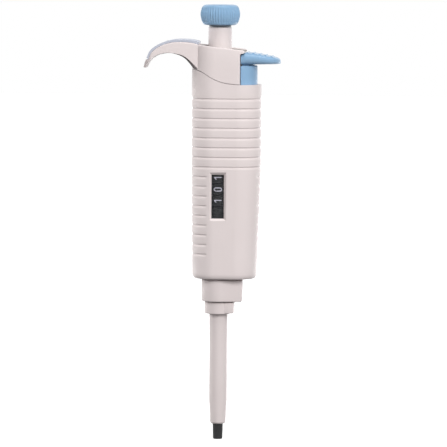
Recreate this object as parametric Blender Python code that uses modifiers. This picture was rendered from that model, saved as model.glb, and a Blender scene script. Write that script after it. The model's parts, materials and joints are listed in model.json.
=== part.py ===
# Single-channel adjustable micropipette with a finger hook and a thumb ejector.
# Metres, +Z up. Origin: centre of the tip cone's open end, on the piston's axis.
# +X is the ejector side, -X is the hook side, and the counter's window faces -Y.

import math

import bmesh
import bpy
from mathutils import Vector

MM = 0.001

# Fits
FIT = 0.3 * MM              # gap between pieces that touch, run or seat on each other
MERGE = 0.00001             # distance under which two points are one
PAST = 1.0 * MM             # how far a cutter reaches past what it cuts

# Roundness
ROUND_STEPS = 32            # facets of a turned piece
CONE_STEPS = 24             # facets of the tip cone
BORE_STEPS = 20             # facets of a small inner piece
OVAL_STEPS = 16             # facets of each rounded end of the grip
COIL_STEPS = 9              # facets in one turn of a spring

# Strokes and setting
FIRST_STOP = 9.0 * MM       # plunger travel to the first stop at full volume
BLOW_OUT = 2.3 * MM         # travel past the first stop
EJECT_TRAVEL = 9.0 * MM
DIAL_TURNS = 9.1            # turns of the dial from the largest to the smallest volume
SCREW_LEAD = 0.9 * MM       # travel of the stop nut in one turn
PLUNGER_TRAVEL = FIRST_STOP + BLOW_OUT
NUT_TRAVEL = SCREW_LEAD * DIAL_TURNS

# Grip
GRIP_BOTTOM = 90.0 * MM
GRIP_TAPER_TOP = 152.0 * MM     # the sides are straight above this height
GRIP_TOP = 212.0 * MM           # above the seam, before the seam is cut
GRIP_HALF = 13.5 * MM
GRIP_LEFT = -GRIP_HALF - 2.0 * MM
GRIP_RIGHT = GRIP_HALF + 9.6 * MM
FOOT_HALF = GRIP_HALF - 0.5 * MM
FOOT_LEFT = -FOOT_HALF - 1.8 * MM
FOOT_RIGHT = FOOT_HALF + 8.0 * MM
FOOT_ROUND = 3.0 * MM
GRIP_WALL = 1.8 * MM
FLOOR_BOTTOM = 93.0 * MM        # the foot is open below the floor
FLOOR_THICK = 2.5 * MM
SHOULDER_THICK = 1.8 * MM

# Grooves of the grip
GROOVE_TOP = 189.9 * MM
GROOVE_PITCH = 5.38 * MM
GROOVES_ALL_ROUND = 8
GROOVES_ON_SIDES = 9
GROOVE_HALF_WIDTH = 0.6 * MM
GROOVE_DEPTH = 0.6 * MM
PANEL_LEFT = -6.5 * MM          # smooth panel between the lower grooves
PANEL_RIGHT = 18.0 * MM

# Seam between cap and grip, from the hook side to the ejector side (X, Z)
SEAM_LEFT_Z = 206.3 * MM
SEAM_RIGHT_Z = 198.0 * MM
SEAM = [
    (-13.3 * MM, SEAM_LEFT_Z),
    (-8.6 * MM, 204.5 * MM),
    (-3.1 * MM, 201.2 * MM),
    (3.3 * MM, 198.9 * MM),
    (11.9 * MM, SEAM_RIGHT_Z),
]
SPIGOT_HEIGHT = 4.0 * MM
SPIGOT_WALL = 1.4 * MM

# Cap
CAP_TOP = 218.5 * MM            # height of its top on the piston's axis
CAP_SLOPE = math.radians(6.5)   # down towards the ejector side
CAP_FACE_X = 11.9 * MM          # flat face beside the ejector button
CAP_LIP_X = 14.2 * MM           # lip over the button's root
CAP_LIP_THICK = 1.1 * MM
CAP_LIP_ROUND = 0.8 * MM
CAP_LIP_FALL = 1.0 * MM         # its underside runs down by this to the flat face
CAP_WALL = 2.0 * MM
CAP_ROOF = 3.4 * MM
CAP_RIM = 1.7 * MM
CAP_DISH = 1.1 * MM
CAP_EDGE = 0.7 * MM

# Hook: pairs of points on its top and its underside, from the root to the tip (X, Z)
HOOK_HALF = 9.4 * MM
HOOK_ROUND = 1.3 * MM
HOOK_TOP = [(-11.3, 221.2), (-14.4, 222.1), (-20.5, 222.6), (-26.5, 222.2), (-31.5, 220.8),
            (-35.5, 218.7), (-38.6, 215.8), (-40.7, 210.8), (-41.7, 207.2)]
HOOK_UNDER = [(-11.3, 203.5), (-15.0, 207.9), (-18.6, 211.9), (-22.5, 213.9), (-27.5, 214.9),
              (-32.0, 214.3), (-35.6, 212.8), (-38.8, 209.9), (-40.6, 206.8)]
PAD_THICK = 1.1 * MM
PAD_HALF = 8.9 * MM
PAD_FIRST = -0.01               # stretch of the hook's top under the pad, as a share of its run
PAD_LAST = 0.86

# Plunger and dial
BUTTON_HEIGHT = 11.2 * MM
BUTTON_GAP = 0.8 * MM           # left over the cap's top when the button is fully down
BUTTON_R = 11.0 * MM
BUTTON_FOOT_R = 9.2 * MM
BUTTON_BELLY = 5.0 * MM         # from its top down to its widest place
BUTTON_TAPER = 4.1 * MM
BUTTON_ROUND = 3.0 * MM
BUTTON_SOCKET = 6.0 * MM
BUTTON_FOOT_EDGE = 0.4 * MM
BUTTON_SHOULDER = 0.35 * MM     # above and below its belly it is narrower by this
BUTTON_SKIRT_SHARE = 0.6        # how full its skirt is, half-way down
LOCK_R = 6.15 * MM
LOCK_RECESS = 2.0 * MM
NECK_R = 6.5 * MM
NECK_WALL = 1.2 * MM
NECK_ROOF = 3.0 * MM
LOCK_SHOWS = 1.3 * MM           # height of the lock ring below the button
NECK_BOTTOM = 205.0 * MM
GUIDE_WALL = 1.5 * MM
GUIDE_LENGTH = 13.0 * MM
STEM_R = 2.31 * MM              # across the corners of the hexagon
COLLAR_TOP = 117.0 * MM
COLLAR_THICK = 2.5 * MM
ROD_R = 2.6 * MM
PISTON_R = 1.88 * MM
PISTON_EDGE = 0.5 * MM
PISTON_TOP = 108.0 * MM
PISTON_BOTTOM = 71.0 * MM

# Counter
DRUM_ROOM = 1.2 * MM            # between the drums and the grip's wall
DRUM_WALL = 1.7 * MM
DRUM_PITCH = 6.36 * MM
DRUM_LOWEST = 127.2 * MM        # middle of the lowest drum
DRUM_COUNT = 4
DRUM_BEVEL = 0.25 * MM
TUBE_WALL = 0.8 * MM
FLANGE_THICK = 2.0 * MM
DRIVER_THICK = 1.4 * MM
SPINDLE_R = 4.0 * MM
SPINDLE_TOP = 200.0 * MM
SPINDLE_COLLAR_R = 6.0 * MM
SPINDLE_COLLAR_THICK = 1.5 * MM
BEARING_BOTTOM = 152.0 * MM
BEARING_THICK = 2.5 * MM
UPPER_BEARING_DROP = 5.2 * MM   # below the neck sleeve when the button is fully down
RING_WIRE_R = 0.6 * MM
NUT_ROOM = 0.45 * MM            # between the stop nut and its tube
NUT_SKIRT_WALL = 1.45 * MM
NUT_SKIRT_LAP = 1.0 * MM        # the skirt reaches this far round the collar
NUT_BODY = 6.0 * MM
NUT_CLEAR = 2.0 * MM            # left between nut and collar at the smallest volume

# Window
WINDOW_HALF_X = 3.45 * MM
WINDOW_BOTTOM = 123.9 * MM
WINDOW_TOP = 148.2 * MM
WINDOW_FRAME = 1.5 * MM
WINDOW_FRAME_DEPTH = 0.8 * MM
LENS_THICK = 1.3 * MM
LENS_SET_BACK = 0.1 * MM

# Tip cone and seals
CONE_END_R = 2.65 * MM
CONE_END_EDGE = 0.35 * MM
CONE_SLEEVE_R = 2.9 * MM        # where it comes out of the ejector sleeve
CONE_LONG_Z = 22.0 * MM
CONE_LONG_R = 3.3 * MM
CONE_TUBE_Z = 28.0 * MM
CONE_TUBE_R = 3.9 * MM
BARREL_R = 5.8 * MM
BARREL_EDGE = 0.6 * MM
CONE_NECK_R = 5.5 * MM
CONE_NECK_TOP = 99.0 * MM
AIR_R = 0.7 * MM
PISTON_BORE_SPARE = 4.7 * MM    # bore left under the piston when it is fully down
SEAL_BOTTOM = 80.5 * MM
SEAL_R = 3.6 * MM
SEAL_HEIGHT = 2.2 * MM
SEAL_RING_R = 0.55 * MM
RETAINER_TOP = 87.5 * MM
RETAINER_FLANGE = 1.2 * MM
RETAINER_R = 4.1 * MM
SPRING_BORE_R = 4.5 * MM
CONE_NUT_R = 8.2 * MM
CONE_NUT_THICK = 3.0 * MM

# Springs
RETURN_COIL_R = 3.75 * MM
RETURN_WIRE_R = 0.3 * MM
RETURN_TURNS = 6
BLOW_COIL_R = 6.6 * MM
BLOW_WIRE_R = 0.4 * MM
BLOW_TURNS = 2.5
WASHER_R = 7.4 * MM
WASHER_THICK = 1.2 * MM
EJECT_COIL_R = 2.6 * MM
EJECT_WIRE_R = 0.35 * MM
EJECT_TURNS = 6

# Ejector
PLATE_GAP = 2.0 * MM            # left over the grip's shoulder when the ejector is fully down
PLATE_TIP_X = 33.6 * MM
PLATE_RISE = 0.4 * MM           # its underside is higher by this at the tip
PLATE_HALF = GRIP_HALF - 3.1 * MM
PLATE_STRAIGHT_X = 23.0 * MM
PLATE_TOP = [(12.2, 214.5), (14.4, 215.4), (18.0, 215.3), (23.3, 214.3), (28.5, 213.1),
             (32.0, 212.0), (33.6, 211.2)]
PLATE_EDGE = 0.7 * MM
RIDGE_COUNT = 5
RIDGE_FIRST_X = CAP_LIP_X + 1.4 * MM
RIDGE_PITCH = 3.3 * MM
RIDGE_R = 0.9 * MM
RIDGE_HALF = PLATE_HALF - 2.6 * MM
COLUMN_RIGHT = GRIP_RIGHT - 2.2 * MM
COLUMN_HALF = PLATE_HALF - 0.4 * MM
COLUMN_DEPTH = 8.0 * MM         # length of the column inside the grip
COLUMN_LAP = 1.5 * MM           # length of the column inside the plate
BAR_ROOM = 0.9 * MM             # between the drums and the ejector bar
BAR_THICK = 1.2 * MM
BAR_HALF = 4.0 * MM
BAR_LAP = 8.2 * MM              # length of the bar inside the head
BAR_TAB = 7.2 * MM              # reach of the bar's tabs
LUG_TOP = 119.2 * MM
PIN_REACH = 4.8 * MM            # from the bar's inner face to the pin's axis
PIN_R = 1.4 * MM
PIN_SHOWS = 2.3 * MM            # height of the pin above the lug
HEAD_GAP = 0.5 * MM             # between the grip's foot, the head and the sleeve
HEAD_R = 9.6 * MM
HEAD_PAST_BAR = 0.5 * MM        # the head reaches this far past the bar's pocket
HEAD_HALF = 6.5 * MM            # at its flat end
HEAD_FLOOR = 1.5 * MM
HEAD_EDGE = 0.5 * MM
SLEEVE_TOP = 76.7 * MM
SLEEVE_HEAD_R = 7.8 * MM
SLEEVE_HEAD_HEIGHT = 6.4 * MM
SLEEVE_HEAD_EDGE = 0.4 * MM
SLEEVE_TAB_LEFT = 3.3 * MM
SLEEVE_TAB_RIGHT = 8.8 * MM
SLEEVE_TAB_HALF = 6.9 * MM
SLEEVE_R_UPPER = 5.2 * MM
SLEEVE_R_MIDDLE = 4.95 * MM
SLEEVE_R_LOWER = 4.45 * MM
SLEEVE_R_END = 3.75 * MM
SLEEVE_WAIST_Z = 53.0 * MM      # the tube narrows from its head to here
SLEEVE_SHOULDER_Z = 22.0 * MM   # and again from here
SLEEVE_NOSE_Z = 13.5 * MM       # to here
SLEEVE_BOTTOM = 8.6 * MM
SLEEVE_END_EDGE = 0.8 * MM
SLEEVE_BORE_R = 4.3 * MM
SLEEVE_MOUTH_Z = 26.0 * MM

# Places that follow from the sizes above
DRUM_R = GRIP_HALF - GRIP_WALL - DRUM_ROOM
DRIVER_R = DRUM_R - FIT
TUBE_R = DRUM_R - DRUM_WALL - FIT
NUT_R = TUBE_R - TUBE_WALL - NUT_ROOM
COLLAR_R = NUT_R - NUT_SKIRT_WALL - FIT
BAR_LEFT = DRUM_R + BAR_ROOM
BAR_TAB_X = BAR_LEFT + BAR_TAB
PIN_X = BAR_LEFT + PIN_REACH
CHASSIS_CUT_X = BAR_LEFT - 2.0 * FIT
HEAD_RIGHT = BAR_LEFT + BAR_THICK + FIT + HEAD_PAST_BAR
HEAD_TOP = GRIP_BOTTOM - HEAD_GAP
HEAD_BOTTOM = SLEEVE_TOP + HEAD_GAP
SLEEVE_HEAD_BOTTOM = SLEEVE_TOP - SLEEVE_HEAD_HEIGHT
BARREL_BOTTOM = HEAD_BOTTOM + HEAD_FLOOR + FIT
BAR_BOTTOM = HEAD_TOP - BAR_LAP
FLOOR_TOP = FLOOR_BOTTOM + FLOOR_THICK
COLLAR_BOTTOM = COLLAR_TOP - COLLAR_THICK
WASHER_TOP = COLLAR_BOTTOM - FIRST_STOP - FIT
CONE_NUT_BOTTOM = FLOOR_TOP + FIT
CONE_NUT_TOP = CONE_NUT_BOTTOM + CONE_NUT_THICK
FLANGE_TOP = DRUM_LOWEST - DRUM_PITCH / 2.0
TUBE_TOP = DRUM_LOWEST + (DRUM_COUNT - 0.5) * DRUM_PITCH
DRIVER_BOTTOM = TUBE_TOP + FIT
BEARING_TOP = BEARING_BOTTOM + BEARING_THICK
NUT_UNDERSIDE = COLLAR_TOP + NUT_TRAVEL + NUT_CLEAR
NUT_SKIRT_BOTTOM = COLLAR_TOP - NUT_SKIRT_LAP
SPINDLE_BOTTOM = COLLAR_TOP + NUT_CLEAR * 0.75
ROD_BOTTOM = RETAINER_TOP + PLUNGER_TRAVEL + 2.0 * FIT
PISTON_BORE_BOTTOM = PISTON_BOTTOM - PLUNGER_TRAVEL - PISTON_BORE_SPARE
BUTTON_BOTTOM = CAP_TOP + PLUNGER_TRAVEL + BUTTON_GAP
BUTTON_TOP = BUTTON_BOTTOM + BUTTON_HEIGHT
NECK_TOP = BUTTON_BOTTOM - LOCK_SHOWS
GUIDE_BOTTOM = CAP_TOP - GUIDE_LENGTH
UPPER_BEARING_BOTTOM = NECK_BOTTOM - PLUNGER_TRAVEL - UPPER_BEARING_DROP - BEARING_THICK
PLATE_UNDER = SEAM_RIGHT_Z + EJECT_TRAVEL + PLATE_GAP
COLUMN_BOTTOM = SEAM_RIGHT_Z - COLUMN_DEPTH
PIN_TOP = LUG_TOP + PIN_SHOWS
SLEEVE_CLEAR_R = CONE_TUBE_R + FIT


def clear_scene():
    for old in list(bpy.data.objects):
        bpy.data.objects.remove(old, do_unlink=True)


def new_collection(name):
    made = bpy.data.collections.new(name)
    bpy.context.scene.collection.children.link(made)
    return made


def make_material(name, colour, roughness, metallic=0.0, alpha=1.0):
    made = bpy.data.materials.new(name)
    made.use_nodes = True
    shader = made.node_tree.nodes["Principled BSDF"]
    shader.inputs["Base Color"].default_value = (*colour, 1.0)
    shader.inputs["Roughness"].default_value = roughness
    shader.inputs["Metallic"].default_value = metallic
    shader.inputs["Alpha"].default_value = alpha
    return made


clear_scene()
PARTS = new_collection("micropipette")
CUTTERS = new_collection("cutters")

WHITE = make_material("white_plastic", (0.76, 0.69, 0.68), 0.35)
BLUE = make_material("blue_plastic", (0.33, 0.52, 0.74), 0.3)
PALE_BLUE = make_material("pale_blue_plastic", (0.5, 0.56, 0.7), 0.45)
BLACK = make_material("black_plastic", (0.02, 0.02, 0.022), 0.4)
DARK = make_material("dark_grey_plastic", (0.045, 0.045, 0.048), 0.38)
CLEAR = make_material("clear_plastic", (0.9, 0.92, 0.95), 0.05, alpha=0.35)
STEEL = make_material("polished_steel", (0.62, 0.62, 0.64), 0.2, metallic=1.0)
BRASS = make_material("turned_brass", (0.72, 0.55, 0.28), 0.3, metallic=1.0)
RUBBER = make_material("seal_rubber", (0.03, 0.03, 0.03), 0.7)
FRAME_PLASTIC = make_material("grey_chassis_plastic", (0.25, 0.25, 0.27), 0.5)


def finish(body, name, material, collection=None):
    """Names a piece, gives it its material and shades its round faces smooth."""
    body.name = name
    body.data.name = name
    body.data.materials.clear()
    body.data.materials.append(material)
    body.data.shade_smooth()
    body.data.set_sharp_from_angle(angle=math.radians(30.0))
    if collection is None:
        collection = PARTS
    for owner in list(body.users_collection):
        owner.objects.unlink(body)
    collection.objects.link(body)
    return body


def as_cutter(body):
    """Puts a solid among the cutters, which aren't part of the object."""
    for owner in list(body.users_collection):
        owner.objects.unlink(body)
    CUTTERS.objects.link(body)
    body.hide_render = True
    body.display_type = "WIRE"
    return body


def combine(body, other, operation):
    """Adds a live Boolean that cuts, joins or keeps what two solids share."""
    as_cutter(other)
    step = body.modifiers.new(operation.lower(), "BOOLEAN")
    step.operation = operation
    step.solver = "EXACT"
    step.object = other
    return body


def cut(body, other):
    return combine(body, other, "DIFFERENCE")


def join(body, other):
    return combine(body, other, "UNION")


def bake(source):
    """Turns an object with modifiers, or a curve, into a welded mesh object."""
    bpy.context.view_layer.update()
    graph = bpy.context.evaluated_depsgraph_get()
    mesh = bpy.data.meshes.new_from_object(source.evaluated_get(graph))
    shape = bmesh.new()
    shape.from_mesh(mesh)
    bmesh.ops.remove_doubles(shape, verts=shape.verts, dist=MERGE)
    bmesh.ops.recalc_face_normals(shape, faces=shape.faces)
    shape.to_mesh(mesh)
    shape.free()
    made = bpy.data.objects.new(source.name, mesh)
    made.matrix_world = source.matrix_world
    PARTS.objects.link(made)
    bpy.data.objects.remove(source, do_unlink=True)
    return made


def turned(name, profile, steps=ROUND_STEPS, closed=False, at=(0.0, 0.0)):
    """Turns a profile of (radius, height) points about a vertical axis.

    The profile runs from the top to the bottom down its outer side; a closed one is a ring.
    """
    mesh = bpy.data.meshes.new(name)
    count = len(profile)
    edges = [(index, index + 1) for index in range(count - 1)]
    if closed:
        edges.append((count - 1, 0))
    mesh.from_pydata([(radius, 0.0, height) for radius, height in profile], edges, [])
    body = bpy.data.objects.new(name, mesh)
    PARTS.objects.link(body)
    body.location = (at[0], at[1], 0.0)
    screw = body.modifiers.new("turn", "SCREW")
    screw.axis = "Z"
    screw.angle = math.tau
    screw.steps = steps
    screw.render_steps = steps
    screw.use_merge_vertices = True
    screw.merge_threshold = MERGE
    return bake(body)


def cylinder(name, radius, bottom, top, sides=ROUND_STEPS, at=(0.0, 0.0)):
    bpy.ops.mesh.primitive_cylinder_add(
        vertices=sides, radius=radius, depth=top - bottom,
        location=(at[0], at[1], (bottom + top) / 2.0))
    body = bpy.context.object
    body.name = name
    return body


def box(name, low, high):
    """A block between two opposite corners."""
    middle = (Vector(low) + Vector(high)) / 2.0
    shape = bmesh.new()
    bmesh.ops.create_cube(shape, size=1.0)
    span = Vector(high) - Vector(low)
    bmesh.ops.scale(shape, vec=span, verts=shape.verts)
    mesh = bpy.data.meshes.new(name)
    shape.to_mesh(mesh)
    shape.free()
    body = bpy.data.objects.new(name, mesh)
    body.location = middle
    PARTS.objects.link(body)
    return body


def loft(name, rings):
    """Skins a stack of rings that have the same number of points, and closes both ends."""
    shape = bmesh.new()
    rows = [[shape.verts.new(point) for point in ring] for ring in rings]
    count = len(rings[0])
    for lower, upper in zip(rows, rows[1:]):
        for index in range(count):
            after = (index + 1) % count
            shape.faces.new((lower[index], lower[after], upper[after], upper[index]))
    shape.faces.new(list(reversed(rows[0])))
    shape.faces.new(rows[-1])
    bmesh.ops.recalc_face_normals(shape, faces=shape.faces)
    mesh = bpy.data.meshes.new(name)
    shape.to_mesh(mesh)
    shape.free()
    body = bpy.data.objects.new(name, mesh)
    PARTS.objects.link(body)
    return body


def flat(name, outline, low, high, upright=False):
    """A flat outline given thickness: from low to high in Z, or in Y when upright (X, Z)."""
    curve = bpy.data.curves.new(name, "CURVE")
    curve.dimensions = "2D"
    curve.fill_mode = "BOTH"
    curve.extrude = (high - low) / 2.0
    line = curve.splines.new("POLY")
    line.points.add(len(outline) - 1)
    for point, (first, second) in zip(line.points, outline):
        point.co = (first, second, 0.0, 1.0)
    line.use_cyclic_u = True
    body = bpy.data.objects.new(name, curve)
    PARTS.objects.link(body)
    middle = (low + high) / 2.0
    if upright:
        body.rotation_euler = (math.pi / 2.0, 0.0, 0.0)
        body.location = (0.0, middle, 0.0)
    else:
        body.location = (0.0, 0.0, middle)
    return bake(body)


def coil(name, radius, wire, bottom, top, turns, at=(0.0, 0.0)):
    """A compression spring whose wire's outside reaches from bottom to top."""
    curve = bpy.data.curves.new(name, "CURVE")
    curve.dimensions = "3D"
    curve.bevel_depth = wire
    curve.bevel_resolution = 2
    curve.use_fill_caps = True
    line = curve.splines.new("POLY")
    count = int(turns * COIL_STEPS) + 1
    line.points.add(count - 1)
    low = bottom + wire
    rise = top - bottom - 2.0 * wire
    for index, point in enumerate(line.points):
        share = index / (count - 1)
        angle = math.tau * turns * share
        point.co = (radius * math.cos(angle), radius * math.sin(angle), low + rise * share, 1.0)
    body = bpy.data.objects.new(name, curve)
    PARTS.objects.link(body)
    body.location = (at[0], at[1], 0.0)
    return bake(body)


def o_ring(name, radius, wire, height):
    bpy.ops.mesh.primitive_torus_add(
        major_radius=radius, minor_radius=wire, major_segments=BORE_STEPS, minor_segments=6,
        location=(0.0, 0.0, height))
    return bpy.context.object


def smooth_line(points, parts):
    """Points along a smooth curve that passes through the given points."""
    last = len(points) - 1
    line = []
    for index in range(last):
        before = points[max(index - 1, 0)]
        start = points[index]
        end = points[index + 1]
        after = points[min(index + 2, last)]
        for step in range(parts):
            t = step / parts
            line.append(tuple(
                0.5 * (2.0 * b + (c - a) * t + (2.0 * a - 5.0 * b + 4.0 * c - d) * t * t
                       + (3.0 * b - a - 3.0 * c + d) * t * t * t)
                for a, b, c, d in zip(before, start, end, after)))
    line.append(points[last])
    return line


def oval(left, right, half, steps=OVAL_STEPS):
    """Points (X, Y) round an oval with two half-round ends, anticlockwise from its +X side."""
    points = []
    for centre, start in ((right - half, -math.pi / 2.0), (left + half, math.pi / 2.0)):
        for index in range(steps + 1):
            angle = start + math.pi * index / steps
            points.append((centre + half * math.cos(angle), half * math.sin(angle)))
    return points


def grip_size(height, inset=0.0):
    """Left, right and half-depth of the grip at a height."""
    share = (height - GRIP_BOTTOM) / (GRIP_TAPER_TOP - GRIP_BOTTOM)
    share = max(0.0, min(1.0, share))
    left = FOOT_LEFT + (GRIP_LEFT - FOOT_LEFT) * share
    right = FOOT_RIGHT + (GRIP_RIGHT - FOOT_RIGHT) * share
    half = FOOT_HALF + (GRIP_HALF - FOOT_HALF) * share
    return left + inset, right - inset, half - inset


def grip_ring(height, inset=0.0):
    return [(x, y, height) for x, y in oval(*grip_size(height, inset))]


def grooved_ring(height, only_sides):
    """A ring of the grip at the bottom of a groove."""
    left, right, half = grip_size(height)
    ring = []
    for outer, inner in zip(oval(left, right, half), oval(*grip_size(height, GROOVE_DEPTH))):
        grooved = not only_sides or outer[0] < PANEL_LEFT or outer[0] > PANEL_RIGHT
        point = inner if grooved else outer
        ring.append((point[0], point[1], height))
    return ring


def clipped_oval(left, right, half, cut_x):
    """Points (X, Y) of an oval whose ejector side is cut off flat at cut_x."""
    far_centre = right - half
    cut_y = math.sqrt(half ** 2 - max(0.0, cut_x - far_centre) ** 2)
    points = [(cut_x, cut_y)]
    if cut_x > far_centre:
        points.append((far_centre, half))
    for index in range(OVAL_STEPS + 1):
        angle = math.pi / 2.0 + math.pi * index / OVAL_STEPS
        points.append((left + half + half * math.cos(angle), half * math.sin(angle)))
    if cut_x > far_centre:
        points.append((far_centre, -half))
    points.append((cut_x, -cut_y))
    return points


def cavity_outline(height, gap, cut_x):
    """Outline of the grip's inside, smaller by a gap, cut off at cut_x on the ejector side."""
    return clipped_oval(*grip_size(height, GRIP_WALL + gap), cut_x)


def seam_region(shift, low):
    """Everything below the seam, moved up by shift (X, Z)."""
    line = smooth_line(SEAM, 4)
    points = [(x, z + shift) for x, z in line]
    far_left = (GRIP_LEFT - PAST, SEAM_LEFT_Z + shift)
    far_right = (GRIP_RIGHT + PAST, SEAM_RIGHT_Z + shift)
    return [(far_left[0], low), far_left, *points, far_right, (far_right[0], low)]


def column_outline(gap=0.0):
    """Half-round outline of the ejector button's column, larger by a gap."""
    flat_x = CAP_FACE_X + FIT - gap
    reach = COLUMN_RIGHT - CAP_FACE_X - FIT + gap
    half = COLUMN_HALF + gap
    steps = 16
    points = []
    for index in range(steps + 1):
        angle = -math.pi / 2.0 + math.pi * index / steps
        points.append((CAP_FACE_X + FIT + reach * math.cos(angle), half * math.sin(angle)))
    if gap > 0.0:
        points = [(flat_x, -half), *points, (flat_x, half)]
    return points


def cap_height(x, below=0.0):
    """Height of the cap's sloping top at X, lowered by a distance."""
    return CAP_TOP - math.tan(CAP_SLOPE) * x - below


def cap_ring(inset, below):
    return [(x, y, cap_height(x, below))
            for x, y in oval(*grip_size(GRIP_TOP, inset))]


def build_handle():
    rings = []
    corner_steps = 3
    for index in range(corner_steps + 1):
        angle = math.pi / 2.0 * index / corner_steps
        height = GRIP_BOTTOM + FOOT_ROUND * (1.0 - math.cos(angle))
        rings.append(grip_ring(height, FOOT_ROUND * (1.0 - math.sin(angle)) * 0.5))
    count = GROOVES_ALL_ROUND + GROOVES_ON_SIDES
    for index in reversed(range(count)):
        middle = GROOVE_TOP - index * GROOVE_PITCH
        rings.append(grip_ring(middle - GROOVE_HALF_WIDTH))
        rings.append(grooved_ring(middle, index >= GROOVES_ALL_ROUND))
        rings.append(grip_ring(middle + GROOVE_HALF_WIDTH))
    rings.append(grip_ring(GRIP_TOP))
    handle = loft("handle_shell", rings)

    above = flat("above_seam", seam_above(), -2.0 * GRIP_HALF, 2.0 * GRIP_HALF, upright=True)
    cut(handle, above)
    inside = loft("grip_inside", [
        grip_ring(FLOOR_TOP, GRIP_WALL),
        grip_ring(GRIP_TAPER_TOP, GRIP_WALL),
        grip_ring(SEAM_RIGHT_Z - SHOULDER_THICK, GRIP_WALL)])
    cut(handle, inside)
    mouth = flat("grip_mouth", cavity_outline(GRIP_TOP, 0.0, CAP_FACE_X),
                 SEAM_RIGHT_Z - 2.0 * SHOULDER_THICK, GRIP_TOP + FIT)
    cut(handle, mouth)
    column_hole = flat("column_hole", column_outline(FIT),
                       SEAM_RIGHT_Z - 2.0 * SHOULDER_THICK, GRIP_TOP)
    cut(handle, column_hole)
    foot = loft("foot_recess", [
        grip_ring(GRIP_BOTTOM - PAST, GRIP_WALL + FOOT_ROUND * 0.5),
        grip_ring(FLOOR_BOTTOM, GRIP_WALL + FOOT_ROUND * 0.5)])
    cut(handle, foot)
    cut(handle, cylinder("neck_hole", CONE_NECK_R + FIT, GRIP_BOTTOM, FLOOR_TOP + PAST))
    cut(handle, box("bar_slot",
                    (BAR_LEFT - FIT, -BAR_HALF - FIT, GRIP_BOTTOM),
                    (BAR_LEFT + BAR_THICK + FIT, BAR_HALF + FIT, FLOOR_TOP + PAST)))
    cut(handle, box("window_opening",
                    (-WINDOW_HALF_X, -2.0 * GRIP_HALF, WINDOW_BOTTOM),
                    (WINDOW_HALF_X, -DRUM_R, WINDOW_TOP)))
    cut(handle, window_bevel())
    return finish(handle, "handle_shell", WHITE)


def seam_above():
    """Everything above the seam, less half of the gap (X, Z)."""
    below = seam_region(-FIT / 2.0, GRIP_BOTTOM)
    high = GRIP_TOP + PAST
    return [(below[0][0], high), *below[1:-1], (below[-1][0], high)]


def window_bevel():
    """Solid that bevels the edge of the window in the grip's front."""
    face = -GRIP_HALF

    def rectangle(margin, y):
        return [(-WINDOW_HALF_X - margin, y, WINDOW_BOTTOM - margin),
                (WINDOW_HALF_X + margin, y, WINDOW_BOTTOM - margin),
                (WINDOW_HALF_X + margin, y, WINDOW_TOP + margin),
                (-WINDOW_HALF_X - margin, y, WINDOW_TOP + margin)]

    slope = WINDOW_FRAME / WINDOW_FRAME_DEPTH
    out = PAST
    return loft("window_bevel", [
        rectangle(WINDOW_FRAME + slope * out, face - out),
        rectangle(0.0, face + WINDOW_FRAME_DEPTH)])


def build_lens():
    front = -GRIP_HALF + WINDOW_FRAME_DEPTH + LENS_SET_BACK
    lens = box("window_lens",
               (-WINDOW_HALF_X + FIT, front, WINDOW_BOTTOM + FIT),
               (WINDOW_HALF_X - FIT, front + LENS_THICK, WINDOW_TOP - FIT))
    return finish(lens, "window_lens", CLEAR)


def hook_line(points):
    return smooth_line([(x * MM, z * MM) for x, z in points], 3)


def hook_section(top, under, half, radius):
    """Rounded rectangle across the hook, from its top point to its underside point."""
    top = Vector((top[0], 0.0, top[1]))
    under = Vector((under[0], 0.0, under[1]))
    across = Vector((0.0, 1.0, 0.0))
    rise = top - under
    height = rise.length
    rise.normalize()
    radius = min(radius, height * 0.45)
    steps = 3
    ring = []
    corners = ((1.0, 1.0, 0.0), (-1.0, 1.0, 0.5), (-1.0, -1.0, 1.0), (1.0, -1.0, 1.5))
    middle = (top + under) / 2.0
    for side, end, turn in corners:
        for index in range(steps + 1):
            angle = math.pi * turn + math.pi / 2.0 * index / steps
            along = side * (half - radius) + radius * math.cos(angle)
            up = end * (height / 2.0 - radius) + radius * math.sin(angle)
            ring.append(middle + across * along + rise * up)
    return ring


def build_hook():
    tops = hook_line(HOOK_TOP)
    unders = hook_line(HOOK_UNDER)
    last = len(tops) - 1
    rings = []
    for index, (top, under) in enumerate(zip(tops, unders)):
        x, z = top
        share = index / last
        if PAD_FIRST < share < PAD_LAST:
            z -= PAD_THICK + FIT
        rings.append(hook_section((x, z), under, HOOK_HALF, HOOK_ROUND))
    return loft("hook", rings)


def build_pad():
    """Coloured strip laid along the top of the hook."""
    tops = hook_line(HOOK_TOP)
    last = len(tops) - 1
    chosen = [point for index, point in enumerate(tops)
              if PAD_FIRST + 1.0 / last < index / last < PAD_LAST - 1.0 / last]
    rings = []
    for x, z in chosen:
        rings.append(hook_section((x, z), (x, z - PAD_THICK), PAD_HALF, PAD_THICK * 0.4))
    return finish(loft("hook_pad", rings), "hook_pad", PALE_BLUE)


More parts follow.
